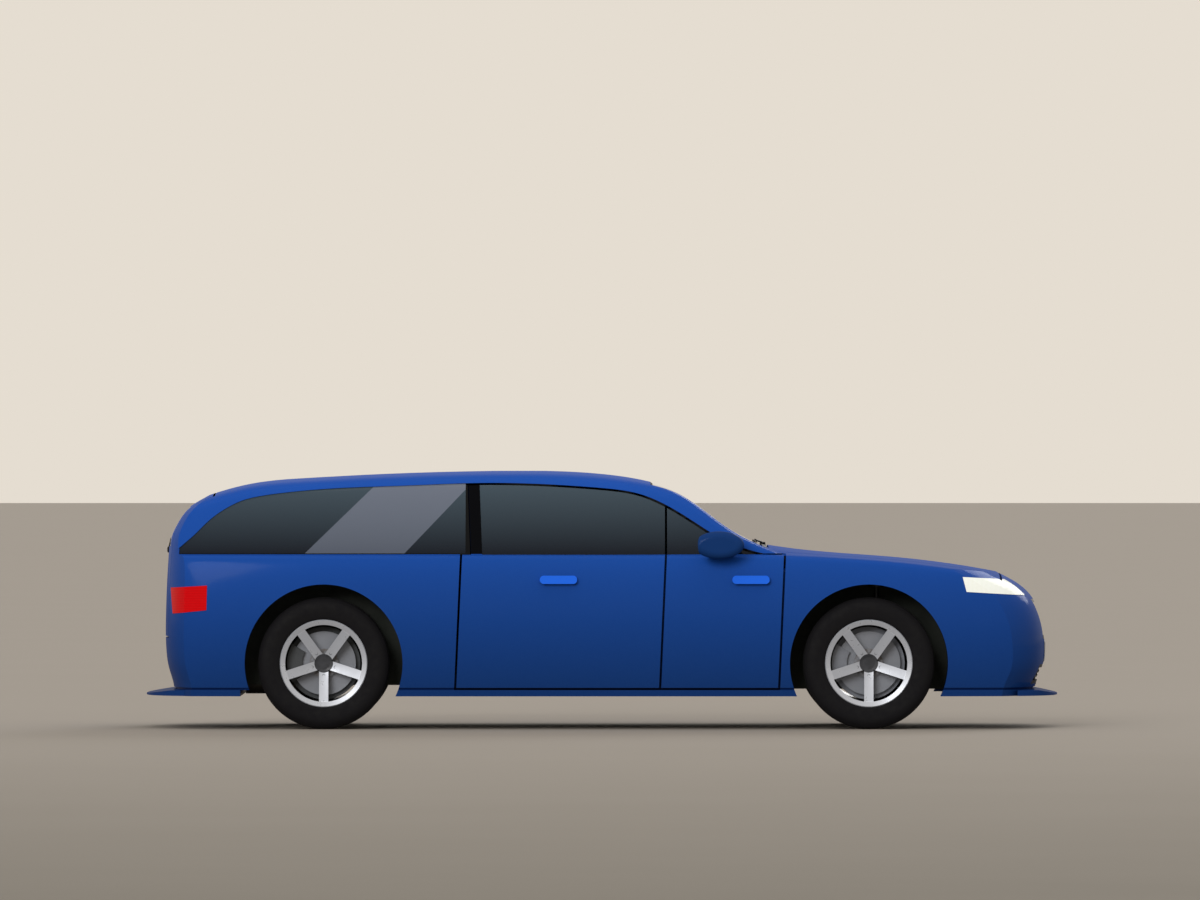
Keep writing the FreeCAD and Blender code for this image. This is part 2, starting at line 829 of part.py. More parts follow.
def grille_part(opening, bar_count):
    """A frame with level bars that follow the nose, and uprights set back behind them."""
    half_base, half_top, foot, head = opening
    half_span = max(half_base, half_top)
    inside = opening_prism(opening, grille_frame / 2)
    frame = opening_prism(opening, fixed_gap).cut(opening_prism(opening, grille_frame))
    step = (head - foot - 2 * grille_frame) / (bar_count + 1)
    level = []
    for i in range(bar_count):
        z = foot + grille_frame + step * (i + 1) - grille_bar_height / 2
        level.append(
            box(bonnet_front_x, half_length, -half_span, half_span, z, z + grille_bar_height)
        )
    stands = []
    for i in range(grille_stand_count):
        y = half_span * (2 * (i + 1) / (grille_stand_count + 1) - 1) - grille_stand_width / 2
        stands.append(box(bonnet_front_x, half_length, y, y + grille_stand_width, foot, head))
    stand_region = stands[0].fuse(stands[1:]).common(inside)
    bar_region = level[0].fuse(level[1:]).common(inside)
    back = nose_cutter(bumper_wall)
    pieces = [
        region.common(nose_cutter(inset)).cut(back)
        for region, inset in (
            (frame, grille_bar_proud),
            (bar_region, grille_bar_height),
            (stand_region, bumper_wall / 2),
        )
    ]
    return largest(pieces[0].fuse(pieces[1:]))


def make_grille():
    return Part.makeCompound(
        [
            grille_part(grille_opening, grille_bar_count),
            grille_part(intake_opening, intake_bar_count),
        ]
    )


# Tailgate

rear_window_half_width = 500.0
rear_window_foot = 985.0
rear_window_head = 1200.0
rear_window_share = 0.93
plate_half_width = 270.0
plate_foot = 600.0
plate_head = 735.0
plate_recess = 12.0


def rear_window_zone(inset):
    half = rear_window_half_width - inset
    points = trapezoid(
        half, half * rear_window_share, rear_window_foot + inset, rear_window_head - inset
    )
    return front_prism(points, -half_length, rear_bumper_x)


def make_tailgate():
    """The tailgate, hinged at the roof, with its window and a pocket for a plate."""
    half = roof_split_y - moving_gap
    region = box(
        -half_length, roof_rear_x - moving_gap / 2, -half, half, tailgate_foot, overall_height
    )
    gate = wall_between(0, tailgate_wall, region).cut(rear_window_zone(0))
    plate = trapezoid(plate_half_width, plate_half_width, plate_foot, plate_head)
    pocket = front_prism(plate, -half_length, rear_bumper_x).cut(skin(plate_recess))
    return largest(gate.cut(pocket))


def make_rear_window():
    outer = skin(glass_recess).common(rear_window_zone(fixed_gap))
    return largest(outer.cut(skin(glass_recess + glass_thickness)))


# Floor and inner structure

pan_thickness = 18.0
tunnel_half_width = 130.0
tunnel_height = 120.0
tunnel_slope = 30.0
kick_x = -1020.0
load_floor_height = 440.0
load_floor_rear_x = -2290.0
firewall_thickness = 14.0
firewall_x = bonnet_rear_x - moving_gap
housing_wall = 8.0
housing_gap = 6.0
rear_housing_y = 560.0
rail_half_width = 28.0
rail_y = 425.0
rail_foot = 380.0
rail_height = 100.0
rail_front_x = 2290.0
front_housing_y = rail_y + rail_half_width
arm_window_half_length = 130.0
arm_window_height = 60.0


def housing(x, inner_y):
    """A wheel housing: a drum wall over the wheel with a flat inner side."""
    outer = arch_radius + housing_gap + housing_wall
    drum = y_cylinder(outer, x, axle_height, inner_y, half_width)
    room = y_cylinder(outer - housing_wall, x, axle_height, inner_y + housing_wall, reach)
    below = box(x - outer, x + outer, 0, reach, 0, skirt_top + fixed_gap)
    return drum.cut([room, below])


def arm_window(x, half, foot, head):
    """A hole in a wheel housing's inner side, which an arm or a beam passes through."""
    return box(x - half, x + half, 0, spring_y, foot, head)


def make_housings():
    """The four wheel housings, open where arms and the rear beam pass."""
    rear = housing(rear_axle_x, rear_housing_y).common(skin(side_wall))
    front = housing(front_axle_x, front_housing_y).common(skin(panel_wall + fixed_gap))
    arm_reach = pin_height + pin_length
    half = arm_window_height / 2
    windows = [
        arm_window(
            front_axle_x,
            arm_window_half_length,
            axle_height + side * arm_reach - half,
            axle_height + side * arm_reach + half,
        )
        for side in (-1, 1)
    ]
    beam_window = box(
        rear_axle_x - beam_half_length - moving_gap,
        rear_axle_x + beam_half_length + moving_gap,
        0,
        kingpin_y - upright_half,
        0,
        axle_height + moving_gap,
    )
    return both_sides(Part.makeCompound([rear.cut(beam_window), front.cut(windows)]))


def tunnel_profile(lift):
    """Half of the floor's section, from the sill to the tunnel's top, raised by lift."""
    half = tunnel_half_width + lift / 2
    return [
        (-sill_inner_y, skirt_top + lift),
        (-half, skirt_top + lift),
        (tunnel_slope - half, skirt_top + tunnel_height + lift),
    ]


def tunnel_room():
    """The room under the tunnel, right through the car."""
    points = tunnel_profile(0)[1:]
    points += [(-y, z) for y, z in points[::-1]]
    return front_prism(points, -half_length, half_length)


def make_floor():
    """Floor pan with its tunnel, the kick-up behind the rear seat, and the load floor."""
    low, high = tunnel_profile(0), tunnel_profile(pan_thickness)
    low += [(-y, z) for y, z in low[::-1]]
    high += [(-y, z) for y, z in high[::-1]]
    pan = front_prism(low + high[::-1], kick_x, firewall_x - firewall_thickness)
    kick = box(
        kick_x - pan_thickness,
        kick_x,
        -sill_inner_y,
        sill_inner_y,
        skirt_top,
        load_floor_height,
    )
    load = box(
        load_floor_rear_x,
        kick_x,
        -rear_housing_y,
        rear_housing_y,
        load_floor_height - pan_thickness,
        load_floor_height,
    )
    return united([pan, kick.cut(tunnel_room()), load])


def make_firewall():
    """The wall ahead of the cabin, notched over the tunnel and the sills."""
    wall = skin(side_wall + post_gap + post_depth).common(
        box(
            firewall_x - firewall_thickness,
            firewall_x,
            -half_width,
            half_width,
            skirt_top,
            belt_height,
        )
    )
    sill_head = skirt_top + sill_step_height + fixed_gap
    sill_room = box(0, half_length, sill_inner_y - fixed_gap, half_width, 0, sill_head)
    return largest(wall.cut([tunnel_room(), sill_room, mirrored(sill_room)]))


def make_rails():
    """Two rails from the firewall to the nose, with a cross beam at their front end."""
    rail = box(
        firewall_x,
        rail_front_x,
        rail_y - rail_half_width,
        front_housing_y,
        rail_foot,
        rail_foot + rail_height,
    )
    cross = box(
        rail_front_x - rail_half_width * 2,
        rail_front_x,
        -front_housing_y,
        front_housing_y,
        rail_foot,
        rail_foot + rail_height,
    )
    return united([rail, mirrored(rail), cross])


# Wheels

rim_dish = 34.0
rim_ring = 29.0
rim_wall = 9.0
spoke_count = 5
spoke_width = 50.0
spoke_depth = 26.0
hub_radius = 50.0
hub_foot_share = 0.86
tyre_shoulder = 26.0
tyre_edge = 6.0
rim_face_y = wheel_y + rim_width / 2
rim_back_y = wheel_y - rim_width / 2
hub_back_y = rim_face_y - rim_dish - spoke_depth * 2


def make_rim(x):
    """An open wheel with five straight spokes, the first pointing down."""
    ring = rim_radius - rim_ring
    seat = rim_radius - rim_wall
    drop = rim_wall * 6
    profile = [
        (ring, rim_face_y - rim_wall),
        (rim_radius - rim_wall / 2, rim_face_y),
        (rim_radius, rim_face_y - rim_wall / 2),
        (seat, rim_face_y - rim_wall * 2),
        (seat - rim_wall, rim_face_y - drop),
        (seat - rim_wall, rim_back_y + drop),
        (seat, rim_back_y + rim_wall * 2),
        (rim_radius, rim_back_y + rim_wall / 2),
        (rim_radius - rim_wall / 2, rim_back_y),
        (seat - rim_wall, rim_back_y + rim_wall),
        (seat - rim_wall * 2, rim_back_y + drop),
        (seat - rim_wall * 2, rim_face_y - drop),
        (ring, rim_face_y - rim_wall * 3),
    ]
    barrel = revolved(profile, x, axle_height)
    hub_face_y = rim_face_y - rim_dish
    hub_profile = [
        (0, hub_face_y),
        (hub_radius - rim_wall / 2, hub_face_y),
        (hub_radius, hub_face_y - rim_wall / 2),
        (hub_radius * hub_foot_share, hub_back_y),
        (0, hub_back_y),
    ]
    hub = revolved(hub_profile, x, axle_height)
    front_y, edge_y = hub_face_y - rim_wall / 2, rim_face_y - rim_wall
    dish_profile = [
        (0, front_y),
        (ring + rim_wall, edge_y),
        (ring + rim_wall, edge_y - spoke_depth),
        (0, front_y - spoke_depth),
    ]
    dish = revolved(dish_profile, x, axle_height)
    bar = box(
        x - spoke_width / 2,
        x + spoke_width / 2,
        rim_back_y,
        rim_face_y,
        axle_height - ring - rim_wall,
        axle_height,
    )
    spoke = dish.common(bar)
    spokes = []
    for i in range(spoke_count):
        turned = spoke.copy()
        turned.rotate(Vector(x, 0, axle_height), Vector(0, 1, 0), 360 * i / spoke_count)
        spokes.append(turned)
    return largest(barrel.fuse([hub] + spokes))


def make_tyre(x):
    """A tyre with a flat tread, round shoulders and bulged walls."""
    seat = rim_radius - rim_wall + fixed_gap
    bead = rim_width / 2 - rim_wall * 2
    half = tyre_width / 2
    outer = [
        (seat, bead),
        (rim_radius + rim_wall / 2, rim_width / 2 + rim_wall / 4),
        ((tyre_radius + rim_radius) / 2, half),
        (tyre_radius - tyre_shoulder, half - tyre_edge),
        (tyre_radius - tyre_edge, half - tyre_shoulder),
        (tyre_radius, half - tyre_shoulder * 2),
    ]
    profile = [(r, wheel_y + y) for r, y in outer]
    profile += [(r, wheel_y - y) for r, y in outer[::-1]]
    return revolved(profile, x, axle_height)


# Brakes and wheel carriers

disc_radius = 172.0
disc_thickness = 28.0
disc_hat_radius = 78.0
disc_hat_depth = 28.0
hub_bore = 33.0
shield_radius = 196.0
shield_wall = 4.0
shield_gap = 8.0
carrier_radius = 62.0
caliper_depth = 54.0
caliper_rise = 27.0
caliper_gap = 4.0
caliper_angle = 62.0
disc_front_y = hub_back_y - disc_hat_depth
disc_back_y = disc_front_y - disc_thickness
shield_y = disc_back_y - shield_gap


def make_disc(x):
    """A brake disc whose hat seats on the back of the wheel's hub."""
    inner = disc_hat_radius - rim_wall
    profile = [
        (hub_bore, hub_back_y),
        (disc_hat_radius, hub_back_y),
        (disc_hat_radius, disc_front_y),
        (disc_radius, disc_front_y),
        (disc_radius, disc_back_y),
        (inner, disc_back_y),
        (inner, hub_back_y - rim_wall),
        (hub_bore, hub_back_y - rim_wall),
    ]
    return revolved(profile, x, axle_height)


def ring_profile(inner, outer, y0, y1):
    return [(inner, y0), (outer, y0), (outer, y1), (inner, y1)]


def carrier(x, inner_y):
    """What carries a wheel: spindle, bearing body, dust shield and brake caliper."""
    z = axle_height
    spindle = y_cylinder(hub_bore - fixed_gap, x, z, inner_y, hub_back_y - fixed_gap)
    body = y_cylinder(carrier_radius, x, z, inner_y, shield_y)
    shield = y_cylinder(shield_radius, x, z, shield_y - shield_wall, shield_y)
    outer_y = disc_front_y + caliper_gap * 6
    ring = ring_profile(
        disc_radius - caliper_depth, disc_radius + caliper_rise, shield_y - shield_wall, outer_y
    )
    room = ring_profile(
        0, disc_radius + caliper_gap, disc_back_y - caliper_gap, disc_front_y + caliper_gap
    )
    rise = half_width * math.tan(math.radians(caliper_angle / 2))
    wedge = [(x, z), (x - half_width, z + rise), (x - half_width, z - rise)]
    caliper = revolved(ring, x, z).cut(revolved(room, x, z))
    caliper = caliper.common(side_prism(wedge, 0, half_width))
    return [spindle, body, shield, caliper]


# Front knuckles and suspension

pin_radius = 17.0
pin_height = 112.0
pin_depth = 34.0
pin_length = 30.0
arm_end_half = 19.0
arm_eye_radius = 23.0
upright_half = 30.0
steer_arm_length = 120.0
arm_radius = 12.0
arm_spread = 190.0
arm_inner_y = 330.0
member_height = 40.0
spring_y = 512.0
spring_radius = 46.0
spring_wire = 13.0
spring_turns = 5
damper_radius = 24.0
tower_half = 45.0


def make_knuckle():
    """The left front knuckle, with bores for the wishbones' pins."""
    x, z = front_axle_x, axle_height
    upright = box(
        x - upright_half,
        x + upright_half,
        kingpin_y - upright_half,
        kingpin_y + upright_half,
        z - pin_height,
        z + pin_height,
    )
    bores = [
        rod(
            pin_radius + fixed_gap,
            (x, kingpin_y, z + side * pin_height),
            (x, kingpin_y, z + side * (pin_height - pin_depth - fixed_gap)),
        )
        for side in (-1, 1)
    ]
    arm = box(
        x - steer_arm_length,
        x,
        kingpin_y - upright_half,
        kingpin_y,
        z - upright_half,
        z - upright_half / 3,
    )
    knuckle = united([upright] + carrier(x, kingpin_y) + [arm])
    return largest(knuckle.cut(bores))


def spring_damper(x, foot, head):
    """A damper with its spring seats, and the spring as stacked rings."""
    y = spring_y
    step = (head - foot) / 4
    pieces = [
        rod(damper_radius, (x, y, foot), (x, y, head - step)),
        rod(damper_radius / 2, (x, y, foot), (x, y, head)),
        rod(spring_radius, (x, y, foot + step), (x, y, foot + step + spring_wire)),
        rod(spring_radius, (x, y, head - spring_wire), (x, y, head)),
    ]
    pitch = (head - foot - step - spring_wire * 2) / (spring_turns + 1)
    for i in range(spring_turns):
        z = foot + step + spring_wire + pitch * (i + 1)
        pieces.append(
            rod(spring_radius, (x, y, z - spring_wire / 2), (x, y, z + spring_wire / 2))
        )
    return pieces


def wishbone(x, inner_y, z):
    """A flat A-shaped arm, from its two inner bearings out to its pin."""
    half = arm_spread / 2
    outline = [
        (x - half - arm_radius, inner_y),
        (x + half + arm_radius, inner_y),
        (x + arm_end_half, kingpin_y),
        (x - arm_end_half, kingpin_y),
    ]
    hole = [
        (x - half + arm_radius, inner_y + arm_radius * 2),
        (x + half - arm_radius, inner_y + arm_radius * 2),
        (x, kingpin_y - arm_end_half * 4),
    ]
    plate = plan_prism(outline, z - arm_radius, z + arm_radius)
    eye = rod(arm_eye_radius, (x, kingpin_y, z - arm_radius), (x, kingpin_y, z + arm_radius))
    return plate.fuse(eye).cut(plan_prism(hole, z - arm_radius, z + arm_radius))


def make_front_suspension():
    """Cross member, wishbones with their pins in the knuckles, springs and dampers."""
    x = front_axle_x
    low = axle_height - pin_height - pin_length
    high = axle_height + pin_height + pin_length
    member = box(
        x - arm_spread / 2 - arm_radius,
        x + arm_spread / 2 + arm_radius,
        -arm_inner_y,
        arm_inner_y,
        low - arm_radius,
        low - arm_radius + member_height,
    )
    tower = box(
        x - tower_half,
        x + tower_half,
        arm_inner_y - member_height,
        rail_y + rail_half_width,
        low - arm_radius,
        rail_foot,
    )
    left = [tower, wishbone(x, arm_inner_y, low), wishbone(x, rail_y - arm_radius, high)]
    for end_z, side in ((low, -1), (high, 1)):
        pin_end = axle_height + side * (pin_height - pin_depth)
        left.append(rod(pin_radius, (x, kingpin_y, pin_end), (x, kingpin_y, end_z)))
    for shift in (-arm_spread / 2, arm_spread / 2):
        post_x = x + shift
        left.append(
            box(
                post_x - arm_radius,
                post_x + arm_radius,
                rail_y - arm_radius,
                rail_y + arm_radius,
                rail_foot + rail_height,
                high + arm_radius,
            )
        )
    spring_reach = arm_spread / 4 + spring_radius
    head = axle_height + math.sqrt((arch_radius + housing_gap) ** 2 - spring_reach**2)
    left += spring_damper(x + arm_spread / 4, low, head - fixed_gap)
    return united([member] + left + [mirrored(piece) for piece in left])


beam_half_length = 55.0
beam_height = 70.0
trailing_front_x = -1120.0
trailing_half_width = 24.0


def make_rear_suspension():
    """Rear cross beam, trailing arms, springs with dampers, and the wheel carriers."""
    x = rear_axle_x
    foot = axle_height - beam_height
    beam = box(
        x - beam_half_length,
        x + beam_half_length,
        -kingpin_y,
        kingpin_y,
        foot,
        foot + beam_height,
    )
    arm = box(
        x,
        trailing_front_x,
        spring_y - trailing_half_width,
        spring_y + trailing_half_width,
        foot,
        foot + trailing_half_width * 2,
    )
    bracket = box(
        trailing_front_x - trailing_half_width * 2,
        trailing_front_x,
        spring_y - trailing_half_width,
        spring_y + trailing_half_width,
        foot,
        load_floor_height - pan_thickness - fixed_gap,
    )
    spring = spring_damper(
        x, foot + beam_height / 2, load_floor_height - pan_thickness - fixed_gap
    )
    left = [arm, bracket] + spring + carrier(x, kingpin_y - upright_half)
    return united([beam] + left + [mirrored(piece) for piece in left])


# Engine, radiator and exhaust

engine_rear_x = 1150.0
engine_front_x = 1680.0
engine_half_width = 280.0
engine_head = 790.0
radiator_x = 2120.0
radiator_depth = 45.0
radiator_foot = 270.0
radiator_head = 715.0
exhaust_radius = 27.0
exhaust_z = 252.0
muffler_front_x = -1600.0
muffler_rear_x = -1940.0
muffler_half_width = 230.0
muffler_half_height = 70.0
muffler_round = 56.0
hanger_radius = 8.0


def make_engine():
    foot = axle_height - pin_height - pin_length - arm_radius + member_height
    return box(
        engine_rear_x,
        engine_front_x,
        -engine_half_width,
        engine_half_width,
        foot + fixed_gap,
        engine_head,
    )


def make_radiator():
    half = rail_y - rail_half_width - fixed_gap
    return box(
        radiator_x, radiator_x + radiator_depth, -half, half, radiator_foot, radiator_head
    )


def make_exhaust():
    """A pipe in the tunnel, and a silencer hung under the load floor."""
    z = exhaust_z
    pipe = rod(exhaust_radius, (engine_rear_x - fixed_gap, 0, z), (muffler_rear_x, 0, z))
    can = box(
        muffler_rear_x,
        muffler_front_x,
        -muffler_half_width,
        muffler_half_width,
        z - muffler_half_height,
        z + muffler_half_height,
    )
    long_edges = [e for e in can.Edges if abs(e.tangentAt(0).x) > e.tangentAt(0).Length / 2]
    can = can.makeFillet(muffler_round, long_edges)
    top = load_floor_height - pan_thickness - fixed_gap
    pieces = [pipe, can]
    for x in (muffler_rear_x + muffler_half_height, muffler_front_x - muffler_half_height):
        pieces.append(rod(hanger_radius, (x, 0, z), (x, 0, top)))
    return united(pieces)


# Cabin

seat_half_width = 255.0
seat_y = 370.0
seat_round = 45.0
seat_edge_round = 36.0
front_seat_x = 20.0
rear_seat_x = -880.0
cushion_top = 500.0
cushion_length = 480.0
cushion_thickness = 148.0
back_thickness = 115.0
back_height = 560.0
back_lean = 130.0
headrest_height = 150.0
headrest_half_width = 125.0
headrest_gap = 25.0
headrest_post = 7.0
rear_seat_half_width = 620.0
seat_gap = 0.3
dash_rear_x = 600.0
dash_top = 915.0
dash_foot = 640.0
dash_brow_x = 740.0
dash_step_x = 800.0
dash_step_height = 880.0
dash_front_height = 850.0
dash_waist_height = 770.0
dash_foot_half_width = 812.0
dash_waist_half_width = 800.0
dash_top_half_width = 750.0
wheel_ring_radius = 182.0
wheel_ring_thickness = 15.0
wheel_spoke_radius = 11.0
wheel_boss_rise = 18.0
wheel_ring_x = 500.0
wheel_ring_z = 880.0
wheel_ring_angle = 25.0


def seat_shape(x, y, half):
    """A seat's cushion and back in one, with round edges, and its headrest."""
    top = cushion_top
    foot = top - cushion_thickness
    head = top + back_height
    profile = [
        (x - back_thickness, foot),
        (x + cushion_length, foot),
        (x + cushion_length, top),
        (x + back_thickness / 4, top - seat_round / 2),
        (x - back_lean, head),
        (x - back_lean - back_thickness, head),
    ]
    shape = side_prism(profile, y - half, y + half)
    return shape.makeFillet(seat_edge_round, shape.Edges)


def headrest(x, y):
    """A headrest on two posts above a seat back."""
    head = cushion_top + back_height
    middle = x - back_lean - back_thickness / 2
    pad = box(
        middle - back_thickness / 3,
        middle + back_thickness / 3,
        y - headrest_half_width,
        y + headrest_half_width,
        head + headrest_gap,
        head + headrest_gap + headrest_height,
    )
    pad = pad.makeFillet(back_thickness / 4, pad.Edges)
    posts = [
        rod(
            headrest_post,
            (middle, y + side * headrest_half_width / 2, head - headrest_gap),
            (middle, y + side * headrest_half_width / 2, head + headrest_gap * 2),
        )
        for side in (-1, 1)
    ]
    return [pad] + posts


def seat_base(x, y, half):
    """What carries a seat on the floor."""
    return box(
        x,
        x + cushion_length - seat_round * 2,
        y - half + seat_round,
        y + half - seat_round,
        skirt_top + pan_thickness + fixed_gap,
        cushion_top - cushion_thickness / 2,
    )


def make_seats():
    seats = []
    for y in (-seat_y, seat_y):
        seats.append([seat_shape(front_seat_x, y, seat_half_width)] + headrest(front_seat_x, y))
        seats[-1].append(seat_base(front_seat_x, y, seat_half_width - seat_round))
    bench = [seat_shape(rear_seat_x, 0, rear_seat_half_width)]
    for y in (-seat_y, seat_y):
        bench += headrest(rear_seat_x, y)
        bench.append(seat_base(rear_seat_x, y, seat_half_width - seat_round))
    seats.append(bench)
    return Part.makeCompound([united(pieces) for pieces in seats])


def make_dashboard():
    """The dashboard, with the steering wheel and its column on the left."""
    front_x = firewall_x - firewall_thickness - fixed_gap
    profile = [
        (dash_rear_x, dash_foot),
        (front_x, dash_foot),
        (front_x, dash_front_height),
        (dash_step_x, dash_step_height),
        (dash_brow_x, dash_top),
        (dash_rear_x + seat_round * 2, dash_top),
        (dash_rear_x, dash_top - seat_round),
    ]
    half = [
        (dash_foot_half_width, dash_foot),
        (dash_waist_half_width, dash_waist_height),
        (dash_top_half_width, dash_top),
    ]
    ends = half + [(-y, z) for y, z in half[::-1]]
    body = side_prism(profile, -half_width, half_width)
    body = body.common(front_prism(ends, dash_rear_x, front_x))
    angle = math.radians(wheel_ring_angle)
    centre = Vector(wheel_ring_x, seat_y, wheel_ring_z)
    axis = Vector(math.cos(angle), 0, -math.sin(angle))
    front, back = centre - axis * wheel_ring_thickness, centre + axis * wheel_ring_thickness
    ring = rod(wheel_ring_radius + wheel_ring_thickness, tuple(front), tuple(back))
    ring = ring.cut(rod(wheel_ring_radius - wheel_ring_thickness, tuple(front), tuple(back)))
    rims = [edge for edge in ring.Edges if isinstance(edge.Curve, Part.Circle)]
    ring = ring.makeChamfer(wheel_ring_thickness / 2, rims)
    column_end = centre + axis * (wheel_ring_radius + seat_round)
    column = rod(seat_round / 2, tuple(centre), tuple(column_end))
    boss_front, boss_back = centre - axis * wheel_boss_rise, centre + axis * seat_round
    boss = rod(seat_round, tuple(boss_front), tuple(boss_back))
    spokes = []
    up = Vector(math.sin(angle), 0, math.cos(angle))
    across = Vector(0, 1, 0)
    for direction in (across, across * -1, up * -1):
        spokes.append(
            rod(wheel_spoke_radius, tuple(centre), tuple(centre + direction * wheel_ring_radius))
        )
    return united([body, ring, column, boss] + spokes)


# Mirrors

mirror_x = 632.0
mirror_z = 996.0
mirror_inner_y = 902.0
mirror_outer_y = 1052.0
mirror_half_length = 135.0
mirror_half_height = 74.0
mirror_round = 36.0
mirror_face_share = 0.66
mirror_face_angle = 20.0
mirror_rim = 8.0
mirror_recess = 6.0
mirror_foot_x = 650.0
mirror_foot_z = 941.0
mirror_foot_half_length = 64.0
mirror_foot_half_height = 17.0


def oval_prism(x, z, half_length_x, half_height, y0, y1):
    """An ellipse in side view, drawn from y0 to y1."""
    centre = Vector(x, y0, z)
    end, head = Vector(x + half_length_x, y0, z), Vector(x, y0, z + half_height)
    outline = Part.Ellipse(end, head, centre).toShape()
    return Part.Face(Part.Wire([outline])).extrude(Vector(0, y1 - y0, 0))


def mirror_shell(inset):
    """The housing's rounded block, drawn in from its skin."""
    block = oval_prism(
        mirror_x,
        mirror_z,
        mirror_half_length - inset,
        mirror_half_height - inset,
        mirror_inner_y + inset,
        mirror_outer_y - inset,
    )
    rims = [edge for edge in block.Edges if isinstance(edge.Curve, Part.Ellipse)]
    return block.makeFillet(mirror_round - inset, rims)


def behind_mirror_face(depth):
    """All that lies behind the slanted plane of the mirror's glass."""
    face_x = mirror_x - mirror_half_length * mirror_face_share
    middle = Vector(face_x, (mirror_inner_y + mirror_outer_y) / 2, mirror_z)
    block = box(face_x - half_length, face_x + depth, -reach, reach, -reach, reach)
    block.rotate(middle, Vector(0, 0, 1), mirror_face_angle)
    return block


def make_mirror():
    """The left mirror: a rounded housing on a foot, with a recess for its glass."""
    housing_block = mirror_shell(0).cut(behind_mirror_face(0))
    recess = mirror_shell(mirror_rim).common(behind_mirror_face(mirror_recess))
    foot = oval_prism(
        mirror_foot_x,
        mirror_foot_z,
        mirror_foot_half_length,
        mirror_foot_half_height,
        roof_half_width,
        mirror_inner_y + mirror_round,
    )
    return largest(housing_block.cut(recess).fuse(foot).cut(skin(0)))


def make_parts():
    """Every node's shape, by its name."""
    parts = {}
    side = make_body_side()
    fender = make_fender()
    front_door, front_glass = make_front_door()
    rear_door, rear_glass = make_rear_door()
    mirror = make_mirror()
    knuckle = make_knuckle()
    lefts = {
        "body_side": side,
        "fender": fender,
        "door_front": front_door,
        "door_rear": rear_door,
        "door_glass_front": front_glass,
        "door_glass_rear": rear_glass,
        "mirror": mirror,
        "knuckle": knuckle,
    }
    for name, shape in lefts.items():
        parts[name + "_left"] = shape
        parts[name + "_right"] = mirrored(shape)
    for end, x in (("front", front_axle_x), ("rear", rear_axle_x)):
        rim, tyre, disc = make_rim(x), make_tyre(x), make_disc(x)
        for name, shape in (("rim", rim), ("tyre", tyre), ("brake_disc", disc)):
            parts[name + "_" + end + "_left"] = shape
            parts[name + "_" + end + "_right"] = mirrored(shape)
    parts["quarter_windows"] = both_sides(make_quarter_window())
    parts["headlamps"] = both_sides(make_lamp(head_lamp_outline, lamp_inner_y))
    parts["tail_lamps"] = both_sides(make_lamp(tail_lamp_outline, roof_split_y))
    parts["windscreen"] = make_windscreen()
    parts["cowl"] = make_cowl()
    parts["roof_panel"] = make_roof()
    parts["bonnet"] = make_bonnet()
    parts["tailgate"] = make_tailgate()
    parts["tailgate_glass"] = make_rear_window()
    parts["front_bumper"] = make_front_bumper()
    parts["rear_bumper"] = make_rear_bumper()
    parts["grille"] = make_grille()
    parts["floor_pan"] = make_floor()
    parts["firewall"] = make_firewall()
    parts["wheel_housings"] = make_housings()
    parts["front_rails"] = make_rails()
    parts["front_suspension"] = make_front_suspension()
    parts["rear_suspension"] = make_rear_suspension()
    parts["engine"] = make_engine()
    parts["radiator"] = make_radiator()
    parts["exhaust"] = make_exhaust()
    parts["seats"] = make_seats()
    parts["dashboard"] = make_dashboard()
    return parts


if __name__ == "__main__":
    os.makedirs("parts", exist_ok=True)
    for part_name, part_shape in make_parts().items():
        part_shape.exportStep("parts/" + part_name + ".step")
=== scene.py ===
import math

import bmesh
import bpy
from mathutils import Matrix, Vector


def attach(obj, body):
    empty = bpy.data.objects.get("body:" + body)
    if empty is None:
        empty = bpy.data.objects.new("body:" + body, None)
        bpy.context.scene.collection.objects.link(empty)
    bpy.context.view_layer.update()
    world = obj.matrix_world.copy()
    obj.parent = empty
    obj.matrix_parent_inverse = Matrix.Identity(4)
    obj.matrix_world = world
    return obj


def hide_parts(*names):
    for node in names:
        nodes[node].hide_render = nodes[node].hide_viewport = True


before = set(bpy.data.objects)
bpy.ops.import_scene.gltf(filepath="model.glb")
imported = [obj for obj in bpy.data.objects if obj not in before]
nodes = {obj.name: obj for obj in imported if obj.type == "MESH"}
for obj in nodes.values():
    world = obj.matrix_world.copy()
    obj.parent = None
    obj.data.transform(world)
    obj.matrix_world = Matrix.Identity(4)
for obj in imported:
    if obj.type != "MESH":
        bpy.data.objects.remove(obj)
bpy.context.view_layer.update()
bothSides = ("left", "right")
print("frame loaded:", len(nodes), "nodes")


# shader helpers

def tone(red, green, blue):
    # a screen colour from 0 to 255 as the linear colour that a socket takes
    parts = [c / 255 for c in (red, green, blue)]
    linear = [c / 12.92 if c < 0.04045 else ((c + 0.055) / 1.055) ** 2.4 for c in parts]
    return (*linear, 1)


def shaded(color, share):
    return tuple(c * share for c in color[:3]) + (1,)


